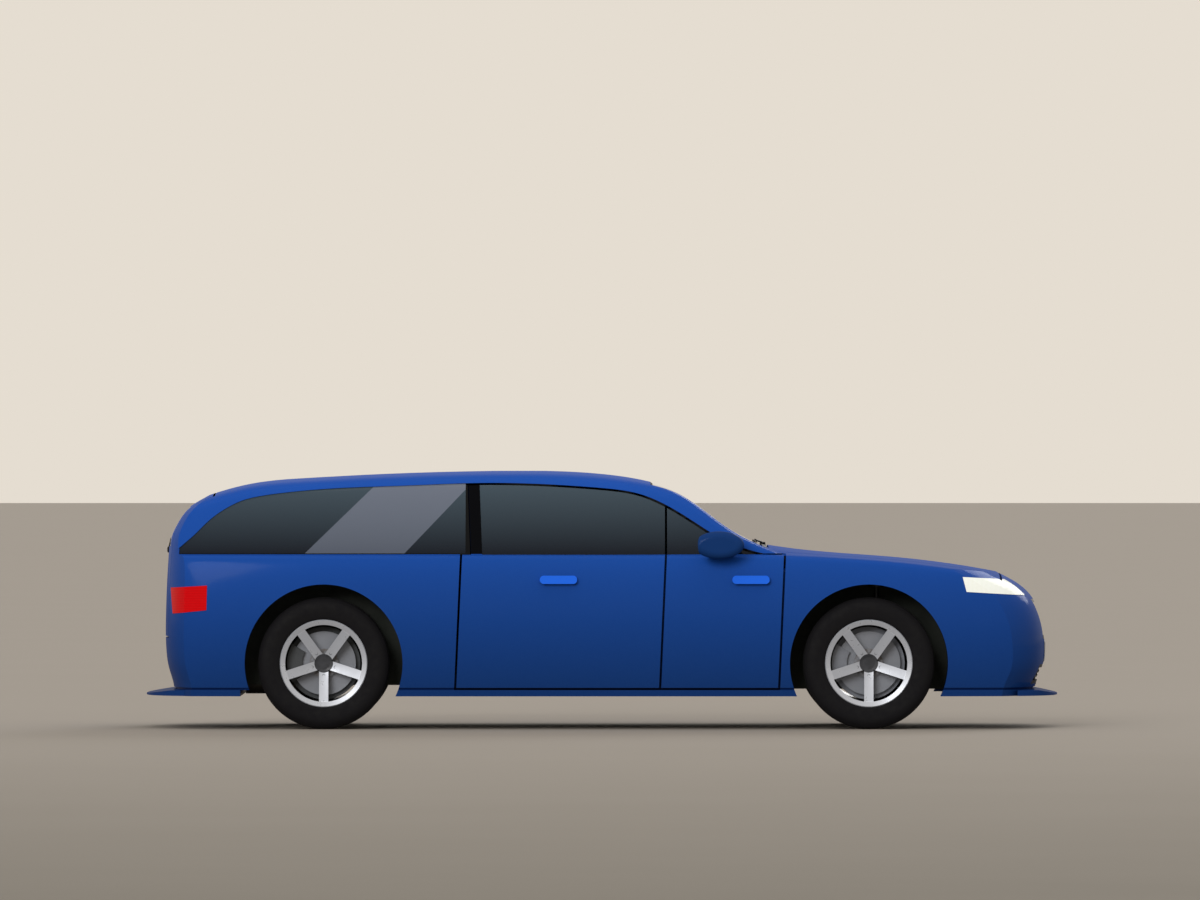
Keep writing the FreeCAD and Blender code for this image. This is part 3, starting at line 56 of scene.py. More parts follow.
class Wire:
    # one socket of a finish's nodes, with sums written as Python
    def __init__(self, finish, socket):
        self.finish = finish
        self.socket = socket

    def sum(self, operation, first, second=0):
        return self.finish.node("ShaderNodeMath", {"operation": operation}, [first, second])

    def __add__(self, other):
        return self.sum("ADD", self, other)

    def __sub__(self, other):
        return self.sum("SUBTRACT", self, other)

    def __rsub__(self, other):
        return self.sum("SUBTRACT", other, self)

    def __mul__(self, other):
        return self.sum("MULTIPLY", self, other)

    def __pow__(self, other):
        return self.sum("POWER", self, other)

    def size(self):
        return self.sum("ABSOLUTE", self)

    def sign(self):
        return self.sum("SIGN", self)

    def sine(self):
        return self.sum("SINE", self)

    def least(self, other):
        return self.sum("MINIMUM", self, other)

    def most(self, other):
        return self.sum("MAXIMUM", self, other)

    def reach(self, other):
        # length of the line that this one and the other span
        return (self * self + other * other) ** 0.5

    def above(self, edge, soft=0.001):
        # 0 below the edge and 1 above it
        settings = {"interpolation_type": "SMOOTHSTEP"}
        values = [self, edge - soft, edge + soft, 0, 1]
        return self.finish.node("ShaderNodeMapRange", settings, values)

    def within(self, middle, half, soft=0.001):
        return 1 - (self - middle).size().above(half, soft)

    def ramp(self, low, high, start=0, end=1):
        return self.finish.node("ShaderNodeMapRange", {}, [self, low, high, start, end])


class Finish:
    # a material on a Principled shader, with its nodes made by one method
    titles = {
        "color": "Base Color",
        "specular": "Specular IOR Level",
        "ior": "IOR",
        "coatIor": "Coat IOR",
    }

    def __init__(self, name, **values):
        self.material = bpy.data.materials.new(name)
        self.material.use_nodes = True
        self.tree = self.material.node_tree
        self.shader = self.tree.nodes["Principled BSDF"]
        for key, value in values.items():
            self.shader.inputs[self.title(key)].default_value = value

    def title(self, key):
        spaced = "".join(" " + c if c.isupper() else c for c in key)
        return self.titles.get(key) or spaced.title()

    def node(self, kind, settings, values, output=0):
        made = self.tree.nodes.new(kind)
        for key, value in settings.items():
            setattr(made, key, value)
        pairs = values.items() if isinstance(values, dict) else enumerate(values)
        for key, value in pairs:
            if isinstance(value, Wire):
                self.tree.links.new(value.socket, made.inputs[key])
            else:
                made.inputs[key].default_value = value
        return Wire(self, made.outputs[output])

    def feed(self, **wires):
        for key, wire in wires.items():
            self.tree.links.new(wire.socket, self.shader.inputs[self.title(key)])

    def even(self, value):
        # the same value all over
        return self.node("ShaderNodeMath", {"operation": "ADD"}, [value, 0])

    def place(self, output="Object"):
        return self.node("ShaderNodeTexCoord", {}, {}, output)

    def axes(self, vector):
        return [self.node("ShaderNodeSeparateXYZ", {}, [vector], i) for i in range(3)]

    def stretched(self, vector, factors):
        return self.node("ShaderNodeMapping", {}, {"Vector": vector, "Scale": factors})

    def noise(self, vector, scale, detail=3.0, roughness=0.5):
        values = {"Vector": vector, "Scale": scale, "Detail": detail, "Roughness": roughness}
        return self.node("ShaderNodeTexNoise", {}, values)

    def cells(self, vector, scale, output=0):
        return self.node("ShaderNodeTexVoronoi", {}, {"Vector": vector, "Scale": scale}, output)

    def blend(self, mask, first, second):
        settings = {"data_type": "RGBA"}
        return self.node("ShaderNodeMix", settings, {0: mask, 6: first, 7: second}, 2)

    def bump(self, height, distance, strength):
        values = {"Height": height, "Distance": distance, "Strength": strength}
        self.feed(normal=self.node("ShaderNodeBump", {}, values))
        return self


# modelling helpers

def deselect():
    if bpy.context.object and bpy.context.object.mode != "OBJECT":
        bpy.ops.object.mode_set(mode="OBJECT")
    bpy.ops.object.select_all(action="DESELECT")


def link(item):
    bpy.context.scene.collection.objects.link(item)


def choose(piece):
    deselect()
    piece.select_set(True)
    bpy.context.view_layer.objects.active = piece


def edit(piece, test=None, kind="FACE"):
    # opens a piece in edit mode with what passes the test selected, or everything
    choose(piece)
    bpy.ops.object.mode_set(mode="EDIT")
    bpy.ops.mesh.select_mode(type=kind)
    bpy.ops.mesh.select_all(action="DESELECT" if test else "SELECT")
    if test:
        mesh = bmesh.from_edit_mesh(piece.data)
        mesh.normal_update()
        for item in {"FACE": mesh.faces, "EDGE": mesh.edges, "VERT": mesh.verts}[kind]:
            if test(item):
                item.select_set(True)
        mesh.select_flush_mode()
        bmesh.update_edit_mesh(piece.data)


def closeEdit(piece, smooth=35):
    bpy.ops.object.mode_set(mode="OBJECT")
    if smooth:
        choose(piece)
        bpy.ops.object.shade_smooth_by_angle(angle=math.radians(smooth))
    return piece


def towards(axis, way, least=0.9):
    # a test for the faces that look one way along an axis
    return lambda face: face.normal["xyz".index(axis)] * way > least


def along(axis, longest=0.1):
    # a test for the edges that run further than this along an axis
    i = "xyz".index(axis)
    return lambda edge: abs(edge.verts[0].co[i] - edge.verts[1].co[i]) > longest


def inset(thickness, depth=0, **settings):
    bpy.ops.mesh.inset(thickness=thickness, depth=depth, **settings)


def cut(count):
    bpy.ops.mesh.subdivide(number_cuts=count)


def shift(x, y, z):
    bpy.ops.transform.translate(value=(x, y, z))


def resize(factors, **settings):
    bpy.ops.transform.resize(value=factors, **settings)


def merge(distance=0.00001):
    bpy.ops.mesh.remove_doubles(threshold=distance)


def selectAll():
    bpy.ops.mesh.select_all(action="SELECT")


def extrude(move):
    bpy.ops.mesh.extrude_region_move(TRANSFORM_OT_translate={"value": move})


def turnOut():
    # turns the normals of the whole piece outwards
    selectAll()
    bpy.ops.mesh.normals_make_consistent(inside=False)


def freeze(piece):
    choose(piece)
    bpy.ops.object.transform_apply(location=True, rotation=True, scale=True)
    return piece


def named(name):
    # names what was just added
    bpy.context.object.name = name
    return freeze(bpy.context.object)


def addBlock(name, low, high):
    low, high = Vector(low), Vector(high)
    deselect()
    bpy.ops.mesh.primitive_cube_add(size=1, location=(low + high) / 2, scale=high - low)
    return named(name)


def addRod(name, radius, start, end, corners=24):
    start, end = Vector(start), Vector(end)
    line = end - start
    deselect()
    bpy.ops.mesh.primitive_cylinder_add(
        vertices=corners, radius=radius, depth=line.length, location=(start + end) / 2,
        rotation=line.to_track_quat("Z", "Y").to_euler(),
    )
    return named(name)


def drawLine(name, points):
    # one point pulled out step by step into a line
    points = [Vector(p) for p in points]
    deselect()
    bpy.ops.mesh.primitive_plane_add(size=0.01, location=points[0])
    piece = named(name)
    bpy.ops.object.mode_set(mode="EDIT")
    bpy.ops.mesh.select_mode(type="VERT")
    selectAll()
    bpy.ops.mesh.merge(type="CENTER")
    for a, b in zip(points, points[1:]):
        extrude(b - a)
    return piece


def spinLine(name, points, centre, axis, steps):
    # a line turned once round an axis, and closed
    piece = drawLine(name, points)
    selectAll()
    bpy.ops.mesh.spin(steps=steps, angle=math.tau, center=centre, axis=axis)
    selectAll()
    merge(0.00002)
    turnOut()
    return closeEdit(piece)


def tube(name, points, radius):
    # a line given round thickness
    piece = drawLine(name, points)
    choose(piece)
    bpy.ops.object.convert(target="CURVE")
    curve = bpy.context.object.data
    curve.bevel_depth = radius
    curve.bevel_resolution = 3
    curve.use_fill_caps = True
    bpy.ops.object.convert(target="MESH")
    made = bpy.context.object
    edit(made)
    merge()
    turnOut()
    return closeEdit(made, 40)


def modify(piece, kind, **settings):
    # gives a piece a modifier and applies it
    choose(piece)
    made = piece.modifiers.new(kind, kind)
    for key, value in settings.items():
        setattr(made, key, value)
    bpy.ops.object.modifier_apply(modifier=kind)


def soften(piece, width, segments=3, angle=30):
    limit = math.radians(angle)
    modify(piece, "BEVEL", width=width, segments=segments, limit_method="ANGLE", angle_limit=limit)
    return closeEdit(piece)


def joined(pieces, name=None):
    choose(pieces[0])
    for piece in pieces[1:]:
        piece.select_set(True)
    bpy.ops.object.join()
    made = bpy.context.object
    made.name = name or made.name
    return made


def copied(piece, name, move=(0, 0, 0), mirror=False):
    # a twin with its own mesh, moved or mirrored to the other side
    twin = piece.copy()
    twin.data = piece.data.copy()
    twin.name = name
    link(twin)
    choose(twin)
    if mirror:
        twin.scale = (1, -1, 1)
    twin.location = move
    freeze(twin)
    if mirror:
        edit(twin)
        turnOut()
        closeEdit(twin, 0)
    return twin


def mirrored(piece):
    return copied(piece, piece.name.replace("left", "right"), mirror=True)


def nodeCopy(node, name):
    # a free copy of a CAD node, to be cut down to the faces that a piece starts from
    piece = nodes[node].copy()
    piece.data = piece.data.copy()
    piece.parent = None
    for key in list(piece.keys()):
        del piece[key]
    piece.name = name
    link(piece)
    edit(piece)
    merge()
    return closeEdit(piece, 0)


def surface(node, start, direction):
    # where a straight line from a start point first meets a CAD node
    hit, place, normal, index = nodes[node].ray_cast(Vector(start), Vector(direction))
    if not hit:
        raise ValueError("no surface of " + node + " from " + str(start))
    return place, normal


def fit(piece, body, finish):
    piece.data.materials.clear()
    piece.data.materials.append(finish.material)
    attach(piece, body)


def fitPair(piece, body, finish):
    # a left piece and its mirrored twin on the same body
    fit(mirrored(piece), body, finish)
    fit(piece, body, finish)


def coat(finish, *names):
    # gives CAD nodes a finish
    for name in names:
        materials = nodes[name].data.materials
        for i in range(len(materials)):
            materials[i] = finish.material


def sides(*stems):
    return [stem + "_" + side for stem in stems for side in bothSides]


# finishes

paintLook = {
    # top, belt and low: one blue paint, painted lighter towards the roof and darker towards the
    # sill as painted light and shade
    "top": tone(28, 78, 168),
    "belt": tone(24, 72, 156),
    "low": tone(16, 49, 104),
    # a darker blue: painted shade of a groove along the sill
    "line": tone(10, 36, 86),
    # a lighter blue: painted highlight on the door handles
    "handle": tone(38, 106, 232),
    "flake": tone(90, 140, 220),
    "trim": tone(14, 14, 16),
    "lining": tone(46, 47, 50),
    # the mirror housing: the body blue painted darker, as painted shade
    "mirror": (tone(19, 50, 101), tone(25, 59, 114)),
    "base": {
        "roughness": 0.36, "metallic": 0.03, "specular": 0.0,
        "coatWeight": 0.13, "coatRoughness": 0.11, "coatIor": 1.3,
    },
    "grain": 260,
    "flakes": 900,
}

# where the colour changes over the body, as places in metres
paintPlaces = {
    # painted shade darkens the paint below the belt, and painted light brightens it towards the
    # roof
    "paintedLightAndShadeFades": ((0.2, 0.95), (1.0, 1.35)),
    # a band of painted groove shade along the sill
    "line": (0.218, 0.0062),
    # where the door handles are painted lighter, as a painted highlight
    "handle": {"x": (0.8045, -0.235), "z": 0.8075, "half": 0.078, "radius": 0.0232},
    "divider": {"x": -0.6762, "foot": 0.923, "lean": 0.0403, "half": 0.0312, "belt": 0.9465},
    "post": {"x": (0.34, 0.0485), "z": (1.08, 0.135), "foot": 0.945, "lean": 0.364, "y": 0.835},
}


def paint(name, inner=None, handles=False, divider=False, posts=False):
    # blue paint: painted shade darkens it towards the sill and painted light brightens it towards
    # the roof, with a dark line of painted groove shade, handles painted lighter as painted
    # highlights, black trim by place and lining inside
    look, places, base = paintLook, paintPlaces, paintLook["base"]
    finish = Finish(name, **base)
    place = finish.place()
    x, y, z = finish.axes(place)
    speck = finish.axes(finish.cells(place, look["flakes"], "Color"))[0]
    lower, upper = places["paintedLightAndShadeFades"]
    # painted shade towards the sill, then painted light towards the roof
    color = finish.blend(z.ramp(*lower), look["low"], look["belt"])
    color = finish.blend(z.ramp(*upper), color, look["top"])
    color = finish.blend(speck * 0.06, color, look["flake"])
    # painted shade: a dark band where a groove along the sill would be shaded
    color = finish.blend(z.within(*places["line"], 0.0005), color, look["line"])
    haze = finish.noise(place, 2.2, 4)
    roughness = haze.ramp(0.3, 0.7, base["roughness"] - 0.04, base["roughness"] + 0.04)
    metal = finish.even(base["metallic"])
    coating = finish.even(base["coatWeight"])
    height = finish.noise(place, look["grain"], 2) * 0.6 + speck * 0.2
    # painted highlight: the door handles are painted a lighter blue than the door
    if handles:
        grip = places["handle"]
        front, rear = [(x - at).size() for at in grip["x"]]
        past = (front.least(rear) - grip["half"]).most(0.0)
        mask = 1 - past.reach(z - grip["z"]).above(grip["radius"], 0.0004)
        color = finish.blend(mask, color, look["handle"])
    masks = []
    if divider:
        bar = places["divider"]
        lean = (z - bar["foot"]) * bar["lean"]
        masks.append((x - bar["x"] + lean).within(0, bar["half"]) * z.above(bar["belt"]))
    if posts:
        post = places["post"]
        depth = y.size() + (z - post["foot"]) * post["lean"]
        masks.append(x.within(*post["x"]) * z.within(*post["z"]) * (1 - depth.above(post["y"])))
    for mask in masks:
        color = finish.blend(mask, color, look["trim"])
        roughness = roughness + mask * 0.2
    if inner:
        nx, ny, nz = finish.axes(finish.place("Normal"))
        if inner == "side":
            facing = 0 - ny * y.sign()
        else:
            facing = 0 - nz if inner == "roof" else nx
        mask = facing.above(0.45, 0.02)
        grain = finish.cells(place, 420)
        lining = finish.blend(grain.ramp(0.0, 0.8), look["lining"], look["trim"])
        color = finish.blend(mask, color, lining)
        roughness = roughness + mask * 0.4
        height = height * (1 - mask) + grain * mask * 3
        masks.append(mask)
    for mask in masks:
        metal = metal * (1 - mask)
        coating = coating * (1 - mask)
    finish.feed(color=color, roughness=roughness, metallic=metal, coatWeight=coating)
    return finish.bump(height, 0.00006, 0.35)


glassLook = {
    # top and bottom: painted reflection that lightens the glass towards the roof
    "top": tone(72, 88, 99),
    "bottom": tone(10, 20, 33),
    "fade": (0.95, 1.33),
    # a slanting band of painted reflection on the rear panes
    "band": tone(120, 127, 142),
    "paintedReflectionFoot": 0.937,
    "paintedReflectionEdges": ((-1.62, 1.029), (-1.08, 0.954)),
    "paintedReflectionFade": (0.93, 1.33, 0.56, 1.0),
}


def glass(name, band=False):
    # dark glass with painted reflection that lightens it towards the roof, and a slanting band of
    # painted reflection on the rear panes
    look = glassLook
    finish = Finish(name, roughness=0.03, transmissionWeight=0.2, ior=1.5, specular=0.12)
    place = finish.place()
    x, y, z = finish.axes(place)
    # painted reflection: lighter towards the roof
    color = finish.blend(z.ramp(*look["fade"]), look["bottom"], look["top"])
    # painted reflection: a slanting lighter band on the rear panes
    if band:
        up = z - look["paintedReflectionFoot"]
        rear, front = [(x - at - up * slope).above(0, 0.002) for at, slope in look["paintedReflectionEdges"]]
        mask = rear * (1 - front) * z.ramp(*look["paintedReflectionFade"])
        color = finish.blend(mask, color, look["band"])
    roughness = finish.noise(place, 7, 3).ramp(0.35, 0.7, 0.02, 0.05)
    finish.feed(color=color, roughness=roughness)
    return finish


def plastic(name, color, grainScale, roughness=0.5, lift=0.00012, shade=0.72):
    finish = Finish(name, roughness=roughness, specular=0.1)
    place = finish.place()
    grain = finish.cells(place, grainScale)
    cloud = finish.noise(place, 9, 3)
    finish.feed(color=finish.blend(cloud.ramp(0.3, 0.7), shaded(color, shade), color))
    finish.feed(roughness=grain.ramp(0, 0.9, roughness - 0.06, roughness + 0.1))
    return finish.bump(grain, lift, 0.6)


def metal(name, color, roughness, scratch=180, stretch=(1, 1, 1)):
    finish = Finish(name, metallic=1.0, roughness=roughness)
    place = finish.place()
    lines = finish.noise(finish.stretched(place, stretch), scratch, 3, 0.6)
    cloud = finish.noise(place, 12, 4)
    finish.feed(color=finish.blend(cloud.ramp(0.35, 0.7), color, shaded(color, 0.8)))
    finish.feed(roughness=lines.ramp(0.3, 0.7, roughness - 0.08, roughness + 0.1))
    return finish.bump(lines, 0.00005, 0.5)


axleHeight = 0.356
wheelPlaces = {"front": 1.442, "rear": -1.504}
wheelLook = {
    "spokes": tone(174, 177, 184),
    "ring": tone(190, 193, 200),
    "cap": tone(44, 45, 49),
    "barrel": tone(112, 115, 122),
    "dirt": tone(120, 122, 128),
    "ringRadius": 0.204,
    "capRadius": 0.0505,
    "barrelPlace": (0.7, 0.13),
    "rubber": (tone(13, 12, 14), tone(18, 17, 20)),
    # a lighter grey mixed into the rubber as a painted highlight
    "wall": tone(34, 33, 35),
    "wallRadius": 0.342,
    "wallRings": (0.3, 0.028, 0.004),
    "disc": tone(122, 125, 132),
    "rust": tone(104, 98, 94),
    "rustRadius": 0.079,
}


def alloy(name, wheelX):
    # silver ring and spokes, with a dark cap in the middle
    look = wheelLook
    finish = Finish(
        name, metallic=0.4, roughness=0.36, specular=0.25, coatWeight=0.15, coatRoughness=0.08
    )
    place = finish.place()
    x, y, z = finish.axes(place)
    radius = (x - wheelX).reach(z - axleHeight)
    cap = 1 - radius.above(look["capRadius"], 0.0006)
    cloud = finish.noise(place, 30, 3)
    color = finish.blend(radius.above(look["ringRadius"]), look["spokes"], look["ring"])
    color = finish.blend(cap, color, look["cap"])
    color = finish.blend(y.size().within(*look["barrelPlace"]), color, look["barrel"])
    color = finish.blend(cloud.ramp(0.4, 0.8, 0, 0.12), color, look["dirt"])
    finish.feed(color=color, metallic=0.4 - cap * 0.3)
    finish.feed(roughness=cloud.ramp(0.3, 0.7, 0.26, 0.36) + cap * 0.15)
    return finish.bump(finish.noise(place, 900, 2), 0.00003, 0.4)


def rubber(name, wheelX):
    # dark rubber with fine rings on the walls, and a lighter grey mixed in as a painted highlight
    look = wheelLook
    finish = Finish(name, roughness=0.75, specular=0.12)
    place = finish.place()
    x, y, z = finish.axes(place)
    radius = (x - wheelX).reach(z - axleHeight)
    wall = 1 - radius.above(look["wallRadius"], 0.002)
    rings = (radius * 1400).sine() * wall * radius.within(*look["wallRings"])
    dust = finish.noise(place, 35, 4)
    color = finish.blend(dust.ramp(0.35, 0.75), *look["rubber"])
    # painted highlight: a lighter grey is mixed into the rubber, 30% on the tread and 12% on the
    # walls
    color = finish.blend(wall * 0.6, finish.blend(0.3, color, look["wall"]), color)
    finish.feed(color=color, roughness=dust.ramp(0.3, 0.7, 0.62, 0.85))
    return finish.bump(rings * 0.5 + finish.noise(place, 600, 2) * 0.3, 0.0004, 0.5)


def disc(name, wheelX):
    # turned steel: fine rings round the axle, rusty near the hub
    look = wheelLook
    finish = Finish(name, metallic=0.35, roughness=0.5)
    place = finish.place()
    x, y, z = finish.axes(place)
    radius = (x - wheelX).reach(z - axleHeight)
    rings = (radius * 5200).sine()
    rust = (1 - radius.above(look["rustRadius"])) * finish.noise(place, 60, 4).ramp(0.35, 0.7)
    finish.feed(color=finish.blend(rust, look["disc"], look["rust"]))
    finish.feed(roughness=rings.ramp(-1, 1, 0.3, 0.42) + rust * 0.3)
    return finish.bump(rings, 0.00008, 0.3)


def lamp(name, color, ribs, glow, vertical=False):
    # a moulded lens with ribs under its clear face
    finish = Finish(
        name, roughness=0.2, specular=0.0, coatWeight=0.2, coatRoughness=0.03, coatIor=1.3,
        emissionColor=color, emissionStrength=glow,
    )
    x, y, z = finish.axes(finish.place())
    lines = ((x if vertical else z) * ribs).sine()
    finish.feed(color=finish.blend(lines.ramp(-1, 1), shaded(color, 0.8), color))
    finish.feed(roughness=lines.ramp(-1, 1, 0.1, 0.22))
    return finish.bump(lines, 0.0004, 0.35)


def cloth(name, color, second):
    # woven cloth: two sets of threads
    finish = Finish(name, roughness=0.9, specular=0.2, sheenWeight=0.25, sheenRoughness=0.5)
    place = finish.place()
    x, y, z = finish.axes(place)
    warp = (x * 2600 + z * 900).sine()
    weft = (y * 2600 + z * 1500).sine()
    weave = (warp * weft).ramp(-1, 1)
    cloud = finish.noise(place, 14, 3)
    color = finish.blend(weave, color, second)
    finish.feed(color=finish.blend(cloud.ramp(0.3, 0.8, 0, 0.3), color, second))
    finish.feed(roughness=weave.ramp(0, 1, 0.82, 0.95))
    return finish.bump(weave, 0.0004, 0.5)


sidePaint = paint("side paint", "side", posts=True)
doorPaint = paint("door paint", "side", handles=True)
rearDoorPaint = paint("rear door paint", "side", handles=True, divider=True)
roofPaint = paint("roof paint", "roof")
tailPaint = paint("tailgate paint", "tail")
panelPaint = paint("panel paint")
# the mirror housing in the body blue painted darker: painted shade
shadedMirrorPaint = Finish("mirror paint", **paintLook["base"])
mirrorPlace = shadedMirrorPaint.place()
mirrorSpecks = shadedMirrorPaint.cells(mirrorPlace, paintLook["flakes"])
shadedMirrorPaint.feed(color=shadedMirrorPaint.blend(mirrorSpecks, *paintLook["mirror"]))
shadedMirrorPaint.bump(shadedMirrorPaint.noise(mirrorPlace, paintLook["grain"], 2), 0.00006, 0.3)
darkGlass = glass("tinted glass")
# the rear side glass carries the slanting painted reflection
rearGlass = glass("rear side glass", band=True)
blackTrim = plastic("black trim", tone(24, 24, 26), 900, 0.5)
sealRubber = plastic("seal rubber", tone(15, 15, 16), 1200, 0.7)
cabinTrim = plastic("cabin plastic", tone(44, 45, 48), 700, 0.6)
underCoat = plastic("underbody coat", tone(62, 65, 60), 260, 0.85, 0.0006)
chassisSteel = metal("chassis steel", tone(70, 72, 74), 0.5)
castIron = metal("cast parts", tone(120, 123, 130), 0.55, 500)
exhaustSteel = metal("exhaust steel", tone(84, 82, 78), 0.5, 120, (1, 6, 6))
engineMetal = metal("engine casting", tone(120, 122, 126), 0.5, 320)
headLens = lamp("headlamp lens", tone(246, 247, 236), 900, 0.2, vertical=True)
tailLens = lamp("tail lamp lens", tone(212, 8, 15), 700, 0.06)
seatCloth = cloth("seat cloth", tone(52, 54, 60), tone(86, 88, 94))
mirrorGlass = Finish("mirror glass", metallic=1.0, roughness=0.02)
mirrorCloud = mirrorGlass.noise(mirrorGlass.place(), 4)
mirrorTones = (tone(205, 210, 216), tone(190, 196, 204))
mirrorGlass.feed(color=mirrorGlass.blend(mirrorCloud, *mirrorTones))
plateFace = plastic("plate face", tone(226, 227, 222), 2200, 0.35, 0.00005, 0.95)

coat(sidePaint, *sides("body_side"))
coat(panelPaint, *sides("fender"), "bonnet", "front_bumper", "rear_bumper")
coat(doorPaint, *sides("door_front"))
coat(rearDoorPaint, *sides("door_rear"))
coat(roofPaint, "roof_panel")
coat(tailPaint, "tailgate")
coat(shadedMirrorPaint, *sides("mirror"))
coat(darkGlass, *sides("door_glass_front", "door_glass_rear"), "windscreen", "tailgate_glass")
coat(rearGlass, "quarter_windows")
coat(blackTrim, "cowl", "grille")
coat(underCoat, "floor_pan", "firewall", "wheel_housings", "front_rails")
coat(chassisSteel, "front_suspension", "rear_suspension", "radiator")
coat(castIron, *sides("knuckle"))
coat(engineMetal, "engine")
coat(exhaustSteel, "exhaust")
coat(headLens, "headlamps")
coat(tailLens, "tail_lamps")
coat(cabinTrim, "dashboard")
coat(seatCloth, "seats")

rubbers = {}
for end, wheelX in wheelPlaces.items():
    rubbers[end] = rubber("tyre rubber " + end, wheelX)
    coat(alloy("alloy " + end, wheelX), *sides("rim_" + end))
    coat(rubbers[end], *sides("tyre_" + end))
    coat(disc("brake disc " + end, wheelX), *sides("brake_disc_" + end))
print("finishes made")


# camera, floor and light

view = {
    "distance": 80.0,
    "frameWidth": 6.48,
    "middle": (-0.0108, -0.925, 1.509),
    "sensor": 36,
    "farthest": 2000,
}
floorLook = {
    "radius": 341,
    # near and far: the floor painted darker towards the camera, as painted shade
    "near": tone(124, 117, 106),
    "far": tone(157, 148, 137),
    "fade": (-32, 0),
    "cloud": tone(176, 167, 156),
}
lights = {
    "key": {"from": (-0.35, -1, 0.36), "strength": 1.4, "angle": 24},
    "top": {"from": (0.1, -0.1, 1), "strength": 0.4, "angle": 60},
    "far side": {"from": (0.4, 1, 0.45), "strength": 0.8, "angle": 24},
}
worldLook = {"fill": (0.58, 0.58, 0.58, 1), "wall": tone(229, 221, 209)}


def addCamera():
    data = bpy.data.cameras.new("camera")
    data.sensor_width = view["sensor"]
    data.lens = view["sensor"] * view["distance"] / view["frameWidth"]
    data.clip_end = view["farthest"]
    camera = bpy.data.objects.new("camera", data)
    x, y, z = view["middle"]
    camera.location = (x, y - view["distance"], z)
    camera.rotation_euler = (math.pi / 2, 0, 0)
    link(camera)
    bpy.context.scene.camera = camera


def addFloor():
    look = floorLook
    deselect()
    bpy.ops.mesh.primitive_circle_add(vertices=128, radius=look["radius"], fill_type="NGON")
    floor = bpy.context.object
    floor.name = "floor"
    finish = Finish("floor", roughness=0.9, specular=0.1)
    place = finish.place()
    x, y, z = finish.axes(place)
    # painted shade: the floor is painted darker towards the camera
    shade = finish.blend(y.ramp(*look["fade"]), look["near"], look["far"])
    cloud = finish.noise(place, 0.4, 3)
    finish.feed(color=finish.blend(cloud * 0.1, shade, look["cloud"]))
    floor.data.materials.append(finish.material)


def addLight(name, look):
    # a wide soft light from far away, so that floor and car get it evenly
    data = bpy.data.lights.new(name, "SUN")
    data.energy = look["strength"]
    data.angle = math.radians(look["angle"])
    light = bpy.data.objects.new(name, data)
    light.rotation_euler = (-Vector(look["from"])).to_track_quat("-Z", "Y").to_euler()
    link(light)


def addWorld():
    # what looks at the backdrop sees a pale wall, and everything else gets an even fill light
    world = bpy.data.worlds.new("studio")
    bpy.context.scene.world = world
    world.use_nodes = True
    tree = world.node_tree
    path = tree.nodes.new("ShaderNodeLightPath")
    wall = tree.nodes.new("ShaderNodeMix")
    wall.data_type = "RGBA"
    wall.inputs[6].default_value = worldLook["fill"]
    wall.inputs[7].default_value = worldLook["wall"]
    seen = path.outputs["Is Camera Ray"]
    for ray in ("Is Glossy Ray", "Is Transmission Ray"):
        either = tree.nodes.new("ShaderNodeMath")
        either.operation = "MAXIMUM"
        tree.links.new(seen, either.inputs[0])
        tree.links.new(path.outputs[ray], either.inputs[1])
        seen = either.outputs[0]
    tree.links.new(seen, wall.inputs[0])
    tree.links.new(wall.outputs[2], tree.nodes["Background"].inputs["Color"])


bpy.context.scene.view_settings.view_transform = "Standard"
addCamera()
addFloor()
addWorld()
for name, look in lights.items():
    addLight(name, look)
print("camera, floor and light made")


# wheels

tyreShape = {
    "half": [
        (0.356, 0.0115), (0.349, 0.0125), (0.349, 0.019), (0.3558, 0.02), (0.3555, 0.0455),
        (0.3485, 0.0465), (0.3485, 0.0525), (0.355, 0.0535), (0.3538, 0.076), (0.3505, 0.089),
        (0.342, 0.101), (0.33, 0.1105), (0.315, 0.1158), (0.2965, 0.1172), (0.276, 0.1155),
        (0.256, 0.1122), (0.244, 0.11), (0.238, 0.106), (0.229, 0.088),
    ],
    "steps": 84,
    "middle": 0.783,
    "ribs": (0.0, 0.033, 0.0648),
    "ribRadius": 0.353,
    "ribReach": 0.004,
    "sipe": 0.0016,
}


def addTyre():
    # the left front tyre, from which the others are copied
    look = tyreShape
    x = wheelPlaces["front"]
    section = look["half"][::-1] + [(r, -y) for r, y in look["half"]]
    points = [(x, look["middle"] + y, axleHeight + r) for r, y in section]
    centre = (x, 0, axleHeight)
    tyre = spinLine("tyre tread", points + points[:1], centre, (0, 1, 0), look["steps"])

    def onRib(face):
        middle = face.calc_center_median()
        y = abs(middle.y - look["middle"])
        r = math.hypot(middle.x - x, middle.z - axleHeight)
        return r > look["ribRadius"] and any(abs(y - at) < look["ribReach"] for at in look["ribs"])

    edit(tyre, onRib)
    inset(look["sipe"], use_individual=True)
    return closeEdit(tyre)


boltShape = {"count": 5, "radius": 0.0095, "circle": 0.066, "y": (0.8415, 0.8607), "edge": 0.002}


def addBolts():
    # hexagon bolts round the cap of the left front wheel
    look = boltShape
    foot, head = look["y"]
    bolts = []
    for i in range(look["count"]):
        angle = math.radians(360 / look["count"] * i - 90)
        x = wheelPlaces["front"] + look["circle"] * math.cos(angle)
        z = look["circle"] * math.sin(angle) + axleHeight
        bolt = addRod("bolt", look["radius"], (x, foot, z), (x, head, z), 6)
        edit(bolt, towards("y", 1))
        inset(look["edge"], 0.0015)
        inset(look["edge"], -0.003)
        closeEdit(bolt)
        bolts.append(soften(bolt, 0.0008, 2))
    return joined(bolts)


